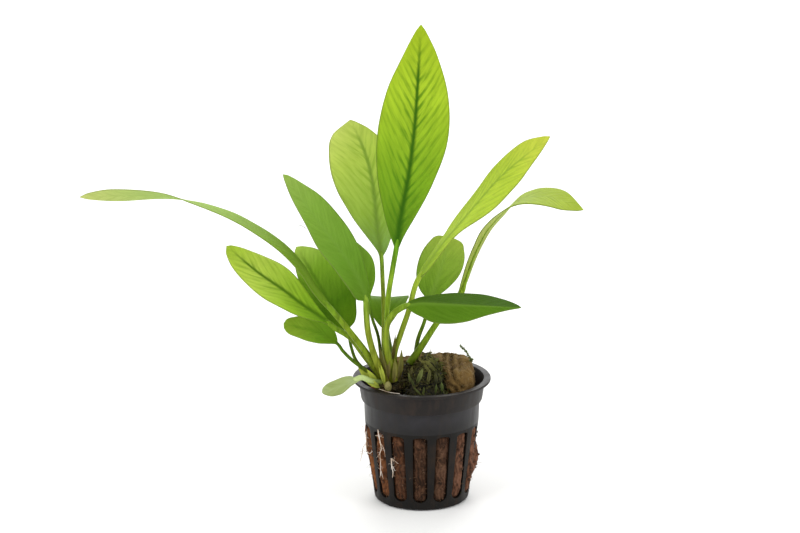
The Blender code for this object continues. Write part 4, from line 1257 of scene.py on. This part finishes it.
def mossMaterial(name, dark, light, glow=0.2):
    # damp moss: thin green tissue, nearly black in its depth by painted shade, each shoot a shade of its
    # own
    material, add = newMaterial(name)
    axes = copyAxes(add)
    place = add("TexCoord").outputs["Object"]
    patches = add("TexNoise", {"Scale": 240.0, "Detail": 3.0}, {"Vector": place})
    mixed = add("Math MULTIPLY_ADD", {1: 0.5}, {0: axes.outputs["Y"], 2: patches})
    # painted shade and light: darker low down between the shoots, lighter at the top; bluer to the right
    spot = add("SeparateXYZ", links={"Vector": place})
    high = add("MapRange", {"range": (0.051, 0.06, -0.28, 0.4)}, {"Value": spot.outputs["Z"]})
    raised = add("Math ADD", links={0: mixed, 1: high})
    share = add("MapRange", {"range": (0.35, 1.2)}, {"Value": raised})
    tone = add("Mix", {6: dark, 7: light}, {0: share})
    right = add("MapRange", {"range": (-0.004, 0.007, 0, 0.8)}, {"Value": spot.outputs["X"]})
    cool = add("Mix MULTIPLY", {7: "#c8dccc"}, {0: right, 6: tone})
    skin = add("BsdfPrincipled", {"Roughness": 0.55, "Specular IOR Level": 0.2}, {"Base Color": cool})
    through = add("BsdfTranslucent", links={"Color": cool})
    both = add("MixShader", {0: glow}, {1: skin, 2: through})
    add("OutputMaterial", links={"Surface": both})
    return material


def mossHeartMaterial():
    # the moss's inside, near black as painted shade, with old brown and black-green shoots pressed
    # together
    material, add = newMaterial("old moss in painted shade")
    place = add("TexCoord").outputs["Object"]
    tangle = add("TexNoise", {"Scale": 700.0, "Detail": 6.0, "Distortion": 1.2}, {"Vector": place})
    tone = add("ValToRGB", {"stops": [(0.36, "#0d0b05"), (0.52, "#26220f"), (0.72, "#4c4422")]},
            {"Fac": tangle})
    bump = add("Bump", {"Strength": 0.8, "Distance": 0.0006}, {"Height": tangle})
    skin = add("BsdfPrincipled", {"Roughness": 0.8}, {"Base Color": tone, "Normal": bump})
    add("OutputMaterial", links={"Surface": skin})
    return material


def leafletModels():
    return [makeLeaflet("leaflet%d" % k, 0.3, droop, full) for k,
            (droop, full) in enumerate(((0.08, 0.8), (0.2, 1.0), (0.35, 0.9)))]


def scatterShoots(name, carrier, count, seed, lengths, width, rule=None, lift=(0.1, 0.8)):
    # small leaves that grow out of the carrier and hang a little
    rng = np.random.default_rng(seed)
    places, normals = spotsOn(carrier, count, seed + 1, rule)
    lie = np.cross(normals, rng.normal(size=normals.shape))
    lie /= np.linalg.norm(lie, axis=1)[:, None]
    aims = lie + normals * rng.uniform(*lift, (count, 1))
    aims[:, 2] -= rng.uniform(0.0, 0.7, count)
    long = rng.uniform(*lengths, (count, 1)) * mm
    sizes = np.concatenate([long, long * width * rng.uniform(0.7, 1.3, (count, 1)), long], axis=1)
    return copiesOf(name, leafletModels(), places, framesFor(aims, normals, sizes), seed + 2)


def placeLeaflets(name, spots, seed):
    # single leaflets where the photograph shows them
    starts = np.array([start for start, end, width in spots]) * mm
    aims = np.array([end for start, end, width in spots]) * mm - starts
    long = np.linalg.norm(aims, axis=1)[:, None]
    wide = np.array([width for start, end, width in spots])[:, None] * mm
    out = np.tile((0.15, -1.0, 0.35), (len(spots), 1))
    return copiesOf(name, leafletModels(), starts, framesFor(aims, out,
            np.concatenate([long, wide, long], axis=1)), seed)


def buildMoss():
    heart = mergedCopy("moss_clump", "mossHeart")
    weather(heart, moss["voxel"], moss["waves"])
    above = lambda p, n: (p[:, 2] > moss["from"] * mm) * (0.3 + (n[:, 2] > -0.2) * 0.7)
    shoots = [scatterShoots("longShoots", heart, moss["long"], 51, (2.2, 4.4), 0.24, above),
            scatterShoots("shortShoots", heart, moss["short"], 54, (0.9, 2.2), 0.36, above),
            placeLeaflets("greenLeaflets", moss["green"], 57)]
    finishPiece(joinAll(shoots[0], shoots[1:]), "moss_clump",
            [mossMaterial("moss shoots", "#12120a", "#8a8446")])
    pale = placeLeaflets("paleLeaflets", moss["pale"], 61)
    finishPiece(pale, "moss_clump", [mossMaterial("pale leaflets", "#444c26", "#8a9050", 0.3)])
    threads = strewFibres("mossThreads", heart, moss["threads"], 71, above, (0.1, 0.6), (1.6, 4.0),
            (80, 0.25, 0.02), 0.8)
    finishPiece(threads, "moss_clump", [mossMaterial("moss threads", "#221f10", "#8a7c4a")])
    finishPiece(heart, "moss_clump", [mossHeartMaterial()])


buildMoss()
print("moss ready")


# The crown: leaf scales and a side bud on the stem, with moss and dirt caught between them

crown = {
    # foot and tip in mm, width in mm
    "bright": [
        ((-16.6, -17.4, 50.8), (-23.6, -18.0, 55.2), 2.4),
        ((-14.7, -17.6, 51.6), (-16.9, -16.6, 61.2), 1.9),
        ((-20.2, -13.6, 52.6), (-25.0, -13.2, 58.6), 3.0),
        ((-17.6, -15.6, 51.6), (-21.4, -15.0, 57.4), 2.2)],
    "brown": [
        ((-13.2, -16.4, 54.0), (-14.4, -15.2, 67.6), 2.3),
        ((-9.4, -13.4, 52.6), (-7.6, -12.4, 64.0), 2.2),
        ((-12.0, -12.6, 60.0), (-10.4, -12.2, 70.8), 1.5),
        ((-15.6, -14.6, 53.0), (-16.4, -13.6, 66.0), 2.2),
        ((-11.2, -16.2, 52.4), (-10.4, -15.4, 61.6), 2.0)],
    "bud": (-13.4, -17.6, 51.4), "budSize": (1.4, 1.3, 2.2),
    "moss": 420, "from": -14,        # mm, moss grows to the right of this
    "dirt": 420,
}


def scaleMaterial(name, low, high):
    # a dry-edged leaf scale, brown at its foot
    material, add = newMaterial(name)
    axes = copyAxes(add)
    place = add("TexCoord").outputs["Object"]
    flecks = add("TexNoise", {"Scale": 500.0, "Detail": 4.0}, {"Vector": place})
    raised = add("Math MULTIPLY_ADD", {1: 0.7, 2: -0.3}, {0: flecks})
    share = add("Math ADD", links={0: raised, 1: axes.outputs["X"]})
    tone = add("Mix", {6: low, 7: high}, {0: share})
    skin = add("BsdfPrincipled", {"Roughness": 0.5, "Specular IOR Level": 0.15}, {"Base Color": tone})
    add("OutputMaterial", links={"Surface": skin})
    return material


def buildCrown():
    bright = placeLeaflets("brightScales", crown["bright"], 121)
    finishPiece(bright, "rhizome", [scaleMaterial("young leaf scale", "#6c7424", "#b4c048")])
    brown = placeLeaflets("brownScales", crown["brown"], 122)
    finishPiece(brown, "rhizome", [scaleMaterial("old leaf scale", "#4a3c1a", "#80803a")])
    deselectAll()
    bpy.ops.mesh.primitive_uv_sphere_add(segments=32, ring_count=20, radius=1)
    bud = takeNew("sideBud")
    bpy.ops.object.mode_set(mode="EDIT")
    bpy.ops.transform.resize(value=tuple(size * mm for size in crown["budSize"]),
            center_override=(0, 0, 0))
    bpy.ops.transform.translate(value=tuple(spot * mm for spot in crown["bud"]))
    leaveEdit()
    weather(bud, 0.25, [(1.6, 0.5), (0.7, 0.2)])
    bud.data.uv_layers.new(name="copyChart")
    finishPiece(bud, "rhizome", [scaleMaterial("side bud skin", "#5c5626", "#94905a")])
    onStem = lambda p, n: (p[:, 0] > crown["from"] * mm) * (n[:, 2] > -0.3) * 1.0
    tufts = scatterShoots("crownMoss", creepingStem, crown["moss"], 131, (1.2, 3.4), 0.28, onStem,
            (0.3, 1.0))
    finishPiece(tufts, "moss_clump", [mossMaterial("crown moss", "#16130a", "#7c7444")])
    rng = np.random.default_rng(141)
    places, normals = spotsOn(creepingStem, crown["dirt"], 142, lambda p, n: (n[:, 2] > -0.3) * 1.0)
    sizes = crumbSizes(rng, 0.4, 1.4, len(places))
    dirt = copiesOf("crownDirt", crumbModels(), places, framesFor(rng.normal(size=normals.shape),
            normals, sizes), 143)
    finishPiece(dirt, "rhizome", [strandMaterial("dirt in the crown", "#171008", "#5a4a28", 0.85)])


buildCrown()
print("crown ready")


sprig = {
    "route": [(15.4, 1, 62.6), (17, 1, 60.9), (18.2, 0.9, 59), (19.1, 0.8, 57.6), (20, 0.6, 56.3)],
    "thickness": 0.4,                # mm, the radius at the root
    "leaflets": 46,
}


def buildSprig():
    twig = addTube("mossSprig", sprig["route"], sprig["thickness"] * mm, lambda t: 0.45 + 0.55 * t, 2)
    leaflets = scatterShoots("sprigLeaflets", twig, sprig["leaflets"], 91, (0.7, 1.3), 0.4, None,
            (0.2, 0.7))
    finishPiece(leaflets, "moss_sprig", [mossMaterial("sprig leaflets", "#3c4220", "#7c8650")])
    finishPiece(twig, "moss_sprig", [mossMaterial("sprig stem", "#4a4a22", "#84844c")])


buildSprig()


# Roots: pale threads that come out of the left slots and lie on the ribs

roots = {
    "thickness": 0.17,               # mm, the radius
    "branch": 0.6, "hanging": 0.7,   # how thick branches and the hanging root are next to the others
    "hairs": 22,                     # on each root
    "off": 0.85,                     # mm, from the wall to the root's middle
    # turn from the front in degrees, height in mm, and how far it stands off the rest
    "routes": {
        "root_main": [
            (-47.5, 33, 0), (-46, 30.5, 0.3), (-44, 25.5, 0.4), (-47.5, 23, 0.1), (-48.5, 18.5, 0),
            (-49.5, 13, 0.2)],
        "root_side": [
            (-74, 29, 0), (-73, 25.3, 0.4), (-75, 21, 0.6), (-69, 20.4, 0.2), (-61.5, 22.1, 0.1)],
        "root_hanging": [
            (-84, 22.5, 0), (-88, 20.8, 1.2), (-90, 18.2, 1.9), (-90, 15.7, 2.7), (-90, 13.9, 3.5)],
        "root_front": [(-33, 22, 0), (-32.5, 18.3, 0.3), (-32, 16, 0), (-33, 13.8, 0.2)],
    },
    "branches": {
        "root_main": [
            [(-51, 30.2, 0.3), (-45.5, 30.6, 0.6), (-40, 30.5, 0.3)],
            [(-46.5, 23.4, 0.2), (-53.4, 20.3, 0.3)], [(-48.8, 15, 0), (-46.5, 11.8, 0.1)],
            [(-49, 15, 0.1), (-52, 12, 0.1)], [(-46, 28, 0.3), (-41, 25.5, 0.2), (-40.5, 22, 0.1)]],
        "root_front": [
            [(-33, 21.9, 0), (-29, 21.4, 0.3), (-25, 20.2, 0.1)], [(-32.5, 18.8, 0.2), (-29, 17, 0.1)]],
        "root_side": [[(-88, 29.2, 0.2), (-90, 28.6, 1.9)], [(-73, 25.3, 0.4), (-69, 23.4, 0.3)]],
    },
}


def onWall(turn, height, off):
    radius = wallRadius(height) + roots["off"] + off
    angle = math.radians(turn)
    return (radius * math.sin(angle), -radius * math.cos(angle), height)


def rootMaterial():
    # living roots: pale, slightly pink and waxy, browner where they are old
    material, add = newMaterial("pale root skin")
    place = add("TexCoord").outputs["Object"]
    age = add("TexNoise", {"Scale": 230.0, "Detail": 4.0}, {"Vector": place})
    tone = add("ValToRGB", {"stops": [(0.33, "#a88668"), (0.5, "#d6c2ae"), (0.68, "#efe6dc")]},
            {"Fac": age})
    skin = add("BsdfPrincipled", {"Roughness": 0.45}, {"Base Color": tone})
    add("OutputMaterial", links={"Surface": skin})
    return material


def buildRoots():
    skin = rootMaterial()
    rng = np.random.default_rng(101)
    for name, route in roots["routes"].items():
        thickness = roots["thickness"] * mm * (roots["hanging"] if name == "root_hanging" else 1.0)
        tube = addTube(name + "Tube", [onWall(*point) for point in route], thickness,
                lambda t: 1.05 - 0.5 * t ** 2, 2)
        twigs = [addTube(name + "Branch", [onWall(*point) for point in branch],
                thickness * roots["branch"], lambda t: 1 - 0.5 * t, 2)
                for branch in roots["branches"].get(name, [])]
        joinAll(tube, twigs)
        places, normals = spotsOn(tube, roots["hairs"], int(rng.integers(1, 999)))
        aims = normals * 0.6 + rng.normal(size=normals.shape) * 0.6
        sizes = evenSizes(rng, 0.6, 1.8, len(places))
        hairs = copiesOf(name + "Hairs", fibreModels(3, 110, 0.22, 0.035), places,
                framesFor(aims, normals, sizes), 111)
        hairs.data.materials.append(skin)
        finishPiece(hairs, name)
        finishPiece(tube, name, [skin])


def buildStrays():
    # a thin root along the rim, and a filament caught on the broad leaf
    stray = addTube("rimRoot", [(-16.8, -18.4, 50.6), (-13, -21.4, 50.25), (-8.7, -23.4, 50.2)],
            0.1 * mm, None, 2)
    finishPiece(stray, "rhizome", [rootMaterial()])
    filament = addTube("filament", [(-48.2, -21.2, 117.3), (-46.8, -21.4, 117.7), (-44.9, -21.8, 116.6)],
            0.12 * mm, None, 1)
    finishPiece(filament, "leaf_left_broad", [strandMaterial("grey filament", "#8c9490", "#b0b4ac")])


buildRoots()
buildStrays()
print("roots ready")
